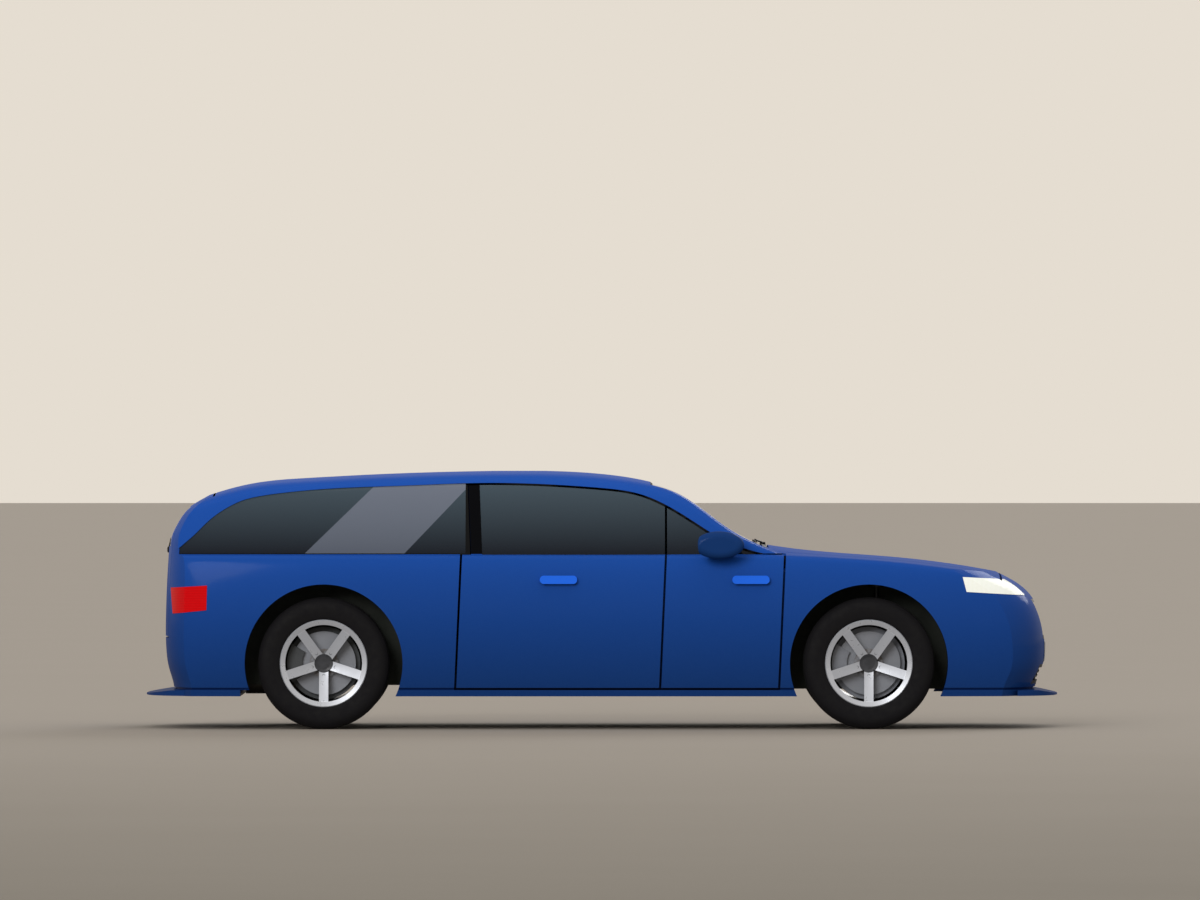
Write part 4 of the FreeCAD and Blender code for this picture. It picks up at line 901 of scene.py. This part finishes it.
tyre = addTyre()
bolts = addBolts()
for end, wheelX in wheelPlaces.items():
    move = (wheelX - wheelPlaces["front"], 0, 0)
    for side in bothSides:
        wheel = end + "_" + side
        tread = copied(tyre, "tread_" + wheel, move, side == "right")
        fit(tread, "wheel_" + wheel, rubbers[end])
        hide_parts("tyre_" + wheel)
        ring = copied(bolts, "bolts_" + wheel, move, side == "right")
        fit(ring, "wheel_" + wheel, castIron)
for spare in (tyre, bolts):
    bpy.data.objects.remove(spare)
print("wheels made")


# seats: a place is the x and y of a pad's middle and half its width

seatShape = {
    "front": (0.02, 0.37, 0.243),
    "bench": (-0.88, 0.0, 0.608),
    "bolster": 0.095,
    "bolsterLift": 0.022,
    "seam": 0.006,
    "seamWidth": 0.006,
    "voxel": 0.009,
    "pressure": 4.0,
    "steps": 20,
    "cap": 0.014,
}


def puff(piece, voxel):
    # swells a block into a firm pad with Cloth, then applies it
    look = seatShape
    choose(piece)
    piece.data.remesh_voxel_size = voxel
    bpy.ops.object.voxel_remesh()
    rest = [v.co.copy() for v in piece.data.vertices]
    fabric = piece.modifiers.new("cloth", "CLOTH")
    fabric.settings.use_pressure = True
    fabric.settings.uniform_pressure_force = look["pressure"]
    fabric.settings.effector_weights.gravity = 0
    scene = bpy.context.scene
    for step in range(1, look["steps"] + 1):
        scene.frame_set(step)
    bpy.ops.object.modifier_apply(modifier="cloth")
    scene.frame_set(1)
    for vertex, start in zip(piece.data.vertices, rest):
        moved = vertex.co - start
        if moved.length > look["cap"]:
            vertex.co = start + moved.normalized() * look["cap"]
    modify(piece, "SMOOTH", factor=0.5, iterations=4)
    bpy.ops.object.shade_smooth()


farAway = 1.0


def seams(y, inner, onFace, crossing):
    # one seam beside each bolster, and the ones that cross between them
    lines = [lambda c: abs(c.y - y) - inner if onFace(c) else farAway]
    for line in crossing:
        lines.append(
            lambda c, line=line: line(c) if abs(c.y - y) < inner and onFace(c) else farAway
        )
    return lines


def sew(piece, lines, depth):
    # draws sewn channels in along lines: each gives a vertex's distance from the seam
    mesh = bmesh.new()
    mesh.from_mesh(piece.data)
    mesh.normal_update()
    for vertex in mesh.verts:
        near = min(abs(line(vertex.co)) for line in lines)
        vertex.co -= vertex.normal * depth * math.exp(-((near / seatShape["seamWidth"]) ** 2))
    mesh.to_mesh(piece.data)
    mesh.free()
    return piece


cushionShape = {
    "x": (-0.02, 0.47),
    "z": (0.345, 0.49),
    "tuck": (0.4, 0.03),
    "round": 0.03,
    "seams": (0.34, 0.19),
    "seamsAbove": 0.44,
    "sideSeam": 0.415,
}


def addPad(name, look, x, y, half):
    # the block of a seat pad, cut across
    (rear, front), (foot, head) = look["x"], look["z"]
    pad = addBlock(name, (x + rear, y - half, foot), (x + front, y + half, head))
    edit(pad, along("y"), "EDGE")
    cut(9)
    return pad


def addCushion(name, x, y, half):
    look = cushionShape
    inner = half - seatShape["bolster"]
    foot, top = look["z"]
    tuckFrom, tuck = look["tuck"]
    pad = addPad(name, look, x, y, half)
    edit(pad, lambda v: abs(v.co.y - y) > inner and v.co.z > top - 0.01, "VERT")
    shift(0, 0, seatShape["bolsterLift"])
    edit(pad, lambda v: v.co.x > x + tuckFrom and v.co.z < foot + 0.01, "VERT")
    shift(-tuck, 0, 0)
    soften(pad, look["round"], 3, 40)
    puff(pad, seatShape["voxel"])
    crossing = [lambda c, at=at: c.x - (x + at) for at in look["seams"]]
    lines = seams(y, inner, lambda c: c.z > look["seamsAbove"], crossing)
    lines.append(lambda c: c.z - look["sideSeam"])
    return sew(pad, lines, seatShape["seam"])


backShape = {
    "x": (-0.1, 0.015),
    "z": (0.44, 1.045),
    "lean": 0.235,
    "shoulder": {"down": 0.09, "in": 0.06, "drop": 0.02},
    "round": 0.028,
    "seams": (0.64, 0.82),
    "seamsAhead": 0.035,
    "sideSeam": 0.062,
}


def addBack(name, x, y, half):
    look, shoulder = backShape, backShape["shoulder"]
    inner = half - seatShape["bolster"]
    foot, head = look["z"]
    high, out = head - shoulder["down"], half - shoulder["in"]
    pad = addPad(name, look, x, y, half)
    edit(pad, lambda v: abs(v.co.y - y) > inner and v.co.x > x, "VERT")
    shift(seatShape["bolsterLift"], 0, 0)
    edit(pad, along("z"), "EDGE")
    cut(11)
    edit(pad, lambda v: v.co.z > high and abs(v.co.y - y) > out, "VERT")
    shift(0, 0, -shoulder["drop"])
    closeEdit(pad, 0)

    def leant(c):
        return x - look["lean"] * (c.z - foot)

    for vertex in pad.data.vertices:
        vertex.co.x -= look["lean"] * (vertex.co.z - foot)
    soften(pad, look["round"], 3, 40)
    puff(pad, seatShape["voxel"])
    crossing = [lambda c, at=at: c.z - at for at in look["seams"]]
    lines = seams(y, inner, lambda c: c.x > leant(c) - look["seamsAhead"], crossing)
    lines.append(lambda c: c.x - (leant(c) - look["sideSeam"]))
    return sew(pad, lines, seatShape["seam"])


headrestShape = {
    "x": (-0.236, -0.15),
    "half": 0.122,
    "z": (1.088, 1.228),
    "narrow": (0.8, 0.86, 1),
    "pivot": (-0.19, 1.1),
    "round": 0.028,
    "voxel": 0.006,
    "seamY": 0.085, "seamAhead": 0.2, "seam": 0.004,
}


def addHeadrest(name, x, y):
    look = headrestShape
    (rear, front), (foot, head), half = look["x"], look["z"], look["half"]
    pivotX, pivotZ = look["pivot"]
    pad = addBlock(name, (x + rear, y - half, foot), (x + front, y + half, head))
    edit(pad, lambda v: v.co.z < pivotZ, "VERT")
    pivot = (x + pivotX, y, pivotZ)
    resize(look["narrow"], center_override=pivot)
    soften(pad, look["round"], 3, 40)
    puff(pad, look["voxel"])
    line = lambda c: abs(c.y - y) - look["seamY"] if c.x > x - look["seamAhead"] else farAway
    return sew(pad, [line], look["seam"])


frameShape = {
    "base": {"x": (0.03, 0.38), "half": 0.195, "z": (0.231, 0.37), "foot": (0.85, 0.9, 1)},
    "post": {"x": (-0.172, -0.19), "y": 0.06, "z": (1.0, 1.12), "radius": 0.0065},
}


def addSeatFrame(name, x, y):
    # the base under a cushion and the posts of its headrest
    base, post = frameShape["base"], frameShape["post"]
    half = base["half"]
    (rear, front), (foot, head) = base["x"], base["z"]
    parts = [addBlock("base", (x + rear, y - half, foot), (x + front, y + half, head))]
    edit(parts[0], towards("z", -1))
    inset(0.02)
    resize(base["foot"])
    closeEdit(parts[0])
    soften(parts[0], 0.012, 2)
    (low, high), (foot, head) = post["x"], post["z"]
    for across in (y - post["y"], y + post["y"]):
        start, end = (x + low, across, foot), (x + high, across, head)
        rod = addRod("post", post["radius"], start, end, 16)
        edit(rod, towards("z", 1))
        inset(0.002)
        parts.append(closeEdit(rod))
    return joined(parts, name)


def addSeats():
    front, bench = seatShape["front"], seatShape["bench"]
    cushion = addCushion("seat_cushion_left", *front)
    back = addBack("seat_back_left", *front)
    rest = addHeadrest("headrest_left", *front[:2])
    shell = addSeatFrame("seat_frame_left", *front[:2])
    made = []
    for piece in (cushion, back, rest, shell):
        made += [piece, mirrored(piece)]
    made += [addCushion("bench_cushion", *bench), addBack("bench_back", *bench)]
    move = (bench[0] - front[0], 0, 0)
    for side in bothSides:
        made.append(copied(rest, "headrest_rear_" + side, move, side == "right"))
        made.append(copied(shell, "bench_frame_" + side, move, side == "right"))
    for piece in made:
        if "frame" in piece.name:
            fit(piece, "body", chassisSteel)
        else:
            fit(piece, "body", seatCloth)
            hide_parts("seats")


addSeats()
print("seats made")


# mirror glass and wipers

mirrorShape = {
    "middle": (0.5429, 0.977, 0.996),
    "turn": 20.0, "recess": 0.006, "rim": 0.0015, "thick": 0.002,
}


def addMirrorGlass(side):
    # the floor of the housing's recess, given its own thickness
    look = mirrorShape
    sign = 1 if side == "left" else -1
    angle = math.radians(look["turn"])
    out = Vector((-math.cos(angle), -math.sin(angle) * sign, 0))
    x, y, z = look["middle"]
    middle = Vector((x, y * sign, z))
    pane = nodeCopy("mirror_" + side, "mirror_glass_" + side)

    def offFloor(face):
        depth = (middle - face.calc_center_median()).dot(out)
        return face.normal.dot(out) < 0.99 or abs(depth - look["recess"]) > 0.001

    edit(pane, offFloor)
    bpy.ops.mesh.delete(type="FACE")
    selectAll()
    bpy.ops.mesh.dissolve_limited(angle_limit=0.1)
    selectAll()
    inset(look["rim"])
    bpy.ops.mesh.select_all(action="INVERT")
    bpy.ops.mesh.delete(type="FACE")
    selectAll()
    extrude(out * look["thick"])
    turnOut()
    return closeEdit(pane)


for side in bothSides:
    fit(addMirrorGlass(side), "door_front_" + side, mirrorGlass)

wiperShape = {
    "lift": 0.01,
    "blade": 0.0042,
    "arm": 0.0045,
    "pivots": (0.6, 0.02),
    "front": {"pivot": 0.881, "x": 0.842, "sweep": 0.02, "start": 0.05, "length": 0.56},
    "rear": {"pivot": 0.965, "z": 1.02, "rise": 0.01, "start": 0.05, "length": 0.33},
    "frontBoss": (0.012, 0.009, 0.004),
    "rearBoss": (0.016, 0.011, 0.005),
}


def buildWiper(name, blade, arm, out, boss):
    radius, head, rim = boss
    parts = [
        tube("blade", blade, wiperShape["blade"]),
        tube("arm", arm, wiperShape["arm"]),
        addRod("boss", radius, arm[0] - out * 0.004, arm[0] + out * head),
    ]
    edit(parts[2], lambda face: face.normal.dot(out) > 0.9)
    inset(rim, 0.003)
    closeEdit(parts[2])
    return joined(parts, name)


def addWiper(name, pivotY):
    # a blade on the foot of the windscreen, and its arm from the cowl
    look, lift = wiperShape["front"], wiperShape["lift"]
    up = Vector((0, 0, 1))
    blade = []
    for i in range(9):
        x = look["x"] - look["sweep"] * i / 8
        y = pivotY - look["start"] - look["length"] * i / 8
        place, normal = surface("windscreen", (x, y, 2), -up)
        blade.append(place + normal * lift * 0.6)
    pivot, normal = surface("cowl", (look["pivot"], pivotY, 2), -up)
    middle = blade[4] + Vector((0.004, 0, lift * 0.7))
    elbow = (pivot * 2 + middle) / 3 + up * 0.007
    arm = [pivot, pivot + up * 0.006, elbow, middle]
    return buildWiper(name, blade, arm, up, wiperShape["frontBoss"])


def addRearWiper():
    # a blade on the tailgate glass, and its arm from the tailgate
    look = wiperShape["rear"]
    back = Vector((-1, 0, 0))
    blade = []
    for i in range(7):
        y = look["start"] + look["length"] * i / 6
        z = look["z"] + look["rise"] * i / 6
        place, normal = surface("tailgate_glass", (-3, y, z), -back)
        blade.append(place + back * wiperShape["lift"] * 0.7)
    pivot, normal = surface("tailgate", (-3, 0, look["pivot"]), -back)
    arm = [pivot, pivot + back * 0.009, blade[3] + back * 0.005]
    return buildWiper("wiper_rear", blade, arm, back, wiperShape["rearBoss"])


for i, pivotY in enumerate(wiperShape["pivots"]):
    fit(addWiper("wiper_" + str(i + 1), pivotY), "body", blackTrim)
fit(addRearWiper(), "tailgate", blackTrim)
print("mirror glass and wipers made")


# seals, and fills behind gaps

sealShape = {
    "width": 0.0122,
    "rear": -0.748,
    "belt": 0.952,
    "pane": -0.733,
    "bar": {"x": -0.7114, "foot": 0.923, "lean": 0.0403},
    "foot": 0.9432,
    "header": 0.268,
    "drop": 0.008,
}


def addSeal(name, node, chosen):
    # the chosen rim faces of a CAD node, pulled out into the gap that they border
    seal = nodeCopy(node, name)
    edit(seal, lambda face: not chosen(face.calc_center_median(), face.normal))
    bpy.ops.mesh.delete(type="FACE")
    selectAll()
    width = {"value": sealShape["width"]}
    bpy.ops.mesh.extrude_region_shrink_fatten(TRANSFORM_OT_shrink_fatten=width)
    turnOut()
    return closeEdit(seal)


def onHead(middle, normal):
    look = sealShape
    ahead = middle.z > look["belt"] and middle.x > look["rear"]
    return ahead and normal.z < -0.2 and abs(normal.y) < 0.6


for side in bothSides:
    doorSeal = addSeal("door_seal_" + side, "body_side_" + side, onHead)
    fit(doorSeal, "body", sealRubber)

paneSeals = addSeal("pane_seals", "quarter_windows", lambda c, n: n.x > 0.9 or n.z < -0.5)
bar = sealShape["bar"]
for vertex in paneSeals.data.vertices:  # the bar beside it leans, so the seal is wider at its foot
    vertex.co.z = max(vertex.co.z, sealShape["foot"])
    if vertex.co.x > sealShape["pane"]:
        vertex.co.x = bar["x"] - (vertex.co.z - bar["foot"]) * bar["lean"]
fit(paneSeals, "body", sealRubber)

headerSeal = addSeal("windscreen_seal", "roof_panel", lambda c, n: n.x > 0.6 and c.x > 0.1)
for vertex in headerSeal.data.vertices:  # its front edge slopes down to the glass
    if vertex.co.x > sealShape["header"]:
        vertex.co.z -= sealShape["drop"]
fit(headerSeal, "body", sealRubber)

cornerShape = {
    "pillar": ((0.806, 0.775, 0.936), (0.9, 0.806, 0.957)),
    "wing": ((0.95, 0.748, 0.894), (1.016, 0.797, 0.936)),
    "foot": ((0.897, 0.708, 0.925), (0.95, 0.836, 0.9475)),
}


def addCornerSeal():
    # rubber behind the gaps that meet at the foot of the left windscreen pillar
    parts = []
    for low, high in cornerShape.values():
        part = addBlock("corner_seal_left", low, high)
        edit(part, towards("y", 1))
        inset(0.004, -0.003)
        parts.append(soften(part, 0.002, 2))
    return joined(parts)


fitPair(addCornerSeal(), "body", sealRubber)

fillShape = {
    "low": (-2.327, 0.655, 0.941),
    "high": (-2.285, 0.771, 0.976),
    "cuts": 11,
    "x": -2.324,
    "slope": 0.183,
    "bow": 0.833,
    "lean": 0.06,
    "thick": 0.003,
}


def addCornerFill():
    # a bowed sheet in body colour, behind the gap at the rear foot of the left quarter window
    look = fillShape
    low, high = Vector(look["low"]), Vector(look["high"])
    fill = addBlock("corner_fill_left", low, high)
    edit(fill)
    cut(look["cuts"])
    closeEdit(fill, 0)
    for vertex in fill.data.vertices:
        depth = (vertex.co.x - low.x) / (high.x - low.x) * look["thick"]
        across, up = vertex.co.y - low.y, vertex.co.z - low.z
        bow = look["slope"] * across + look["bow"] * across ** 2
        vertex.co.x = look["x"] + depth + bow + look["lean"] * up
    edit(fill)
    turnOut()
    return closeEdit(fill)


fitPair(addCornerFill(), "body", panelPaint)
print("seals and fills made")


# dashboard, console, doors and plates

cabinShape = {
    "hood": ((0.612, 0.225, 0.885), (0.735, 0.515, 0.965)),
    "hoodMiddle": (0.67, 0.37, 0.93),
    "screen": ((0.588, -0.14, 0.765), (0.604, 0.14, 0.895)),
    "console": ((-0.02, -0.098, 0.3), (0.62, 0.098, 0.5)),
    "consoleRise": 0.09,
    "lever": ((0.36, -0.022, 0.49), (0.41, 0.022, 0.6)),
    "vent": ((0.594, -0.055, 0.8), (0.606, 0.055, 0.86)),
    "vents": (-0.7, -0.24, 0.24, 0.7),
    "slats": 7,
}


def frameFace(piece, thickness, depth, cuts=0):
    # frames the large face that looks back at the seats
    edit(piece, lambda f: f.normal.x < -0.95 and f.calc_area() > 0.002)
    inset(thickness, depth)
    if cuts:
        cut(cuts)
    return closeEdit(piece)


def addHood():
    x, y, z = cabinShape["hoodMiddle"]
    hood = addBlock("instrument_hood", *cabinShape["hood"])
    edit(hood, lambda v: v.co.z > z and v.co.x > x, "VERT")
    shift(0, 0, -0.045)
    edit(hood, lambda v: v.co.z > 0.9, "VERT")
    resize((1, 0.82, 1), center_override=(x, y, z))
    soften(hood, 0.018, 4)
    return frameFace(hood, 0.012, -0.02)


def addScreen():
    screen = addBlock("centre_screen", *cabinShape["screen"])
    soften(screen, 0.005, 3)
    return frameFace(screen, 0.008, -0.001)


def addConsole():
    # a long box that rises to the dashboard, with a raised armrest and a sunk tray
    console = addBlock("console", *cabinShape["console"])
    edit(console, along("x"), "EDGE")
    cut(4)
    edit(console, lambda v: v.co.x > 0.4 and v.co.z > 0.49, "VERT")
    shift(0, 0, cabinShape["consoleRise"])
    edit(console, lambda f: f.normal.z > 0.9 and f.calc_center_median().x < 0.2)
    inset(0.014)
    inset(0.004, 0.008)
    edit(console, lambda f: f.normal.z > 0.9 and 0.2 < f.calc_center_median().x < 0.4)
    inset(0.018, -0.03)
    return soften(console, 0.01, 3)


def addLever():
    lever = addBlock("gear_lever", *cabinShape["lever"])
    edit(lever, towards("z", 1))
    resize((1.3, 1.1, 1))
    inset(0.006, 0.008)
    return soften(lever, 0.007, 3)


def addVents():
    vents = []
    (rear, right, foot), (front, left, head) = cabinShape["vent"]
    for y in cabinShape["vents"]:
        vent = addBlock("vent", (rear, y + right, foot), (front, y + left, head))
        soften(vent, 0.004, 2)
        vents.append(frameFace(vent, 0.006, -0.004, cabinShape["slats"]))
    return joined(vents, "vents")


for piece in (addHood(), addScreen(), addConsole(), addLever(), addVents()):
    black = piece.name in ("centre_screen", "vents")
    fit(piece, "body", blackTrim if black else cabinTrim)

doorShape = {
    "door_front": (0.4, 0.9),
    "door_rear": (-0.52, 0.24),
    "armrest": {
        "ends": (0.05, 0.02), "y": (0.062, 0.006), "z": (0.6, 0.668),
        "wallAt": 0.634, "tuck": 0.022, "rim": 0.012,
    },
    "pocket": {
        "ends": (0.02, 0.04), "y": (0.045, 0.016), "z": (0.3, 0.43),
        "wallAt": 0.3, "tuck": 0.02, "rim": 0.008,
    },
    "pocketDepth": 0.09,
}


def addHolder(name, stem):
    # a box on the left door's inner wall, slimmer at its foot, with the rim of its top drawn
    look = doorShape[name]
    rear, front = doorShape[stem]
    start = ((rear + front) / 2, 0.3, look["wallAt"])
    wall, normal = surface(stem + "_left", start, (0, 1, 0))
    (back, ahead), (inside, outside), (foot, head) = look["ends"], look["y"], look["z"]
    low = (rear + back, wall.y - inside, foot)
    holder = addBlock(name, low, (front - ahead, wall.y + outside, head))
    edit(holder, lambda v: v.co.y < wall.y - 0.03 and v.co.z < foot + 0.01, "VERT")
    shift(0, look["tuck"], 0)
    edit(holder, towards("z", 1))
    inset(look["rim"])
    return holder


def addDoorTrim(stem):
    # an armrest with a grip, and a map pocket below it
    arm = addHolder("armrest", stem)
    inset(0.006, -0.012)
    soften(arm, 0.009, 3)
    pocket = addHolder("pocket", stem)
    extrude((0, 0, -doorShape["pocketDepth"]))
    soften(pocket, 0.004, 2)
    return joined([arm, pocket], stem + "_trim_left")


for stem in ("door_front", "door_rear"):
    trim = addDoorTrim(stem)
    twin = mirrored(trim)
    fit(trim, stem + "_left", cabinTrim)
    fit(twin, stem + "_right", cabinTrim)

plateShape = {
    "half": 0.26, "height": 0.11, "thick": 0.004, "gap": 0.002, "rim": 0.006, "step": 0.0012,
}


def addPlate(name, node, x, z, way):
    # a bare number plate, bent to what it sits on, that looks ahead (1) or back (-1)
    look = plateShape
    middle = (x, 0, z)
    deselect()
    bpy.ops.mesh.primitive_grid_add(x_subdivisions=24, y_subdivisions=4, size=1, location=middle)
    plate = named(name)
    edit(plate)
    bpy.ops.transform.rotate(value=math.radians(90), orient_axis="Y", center_override=middle)
    size = (1, look["half"] * 2, look["height"])
    resize(size, center_override=middle)
    closeEdit(plate)
    modify(
        plate, "SHRINKWRAP", target=nodes[node], wrap_method="PROJECT", use_project_x=True,
        use_positive_direction=way < 0, use_negative_direction=way > 0, offset=look["gap"],
    )
    edit(plate)
    extrude((way * look["thick"], 0, 0))
    turnOut()
    closeEdit(plate)
    edit(plate, towards("x", way, 0.7))
    inset(look["rim"], -look["step"])
    return closeEdit(plate)


frontPlate = addPlate("plate_front", "front_bumper", 2.5, 0.412, 1)
fit(frontPlate, "body", plateFace)
rearPlate = addPlate("plate_rear", "tailgate", -2.5, 0.6675, -1)
fit(rearPlate, "tailgate", plateFace)
print("cabin and plates made")
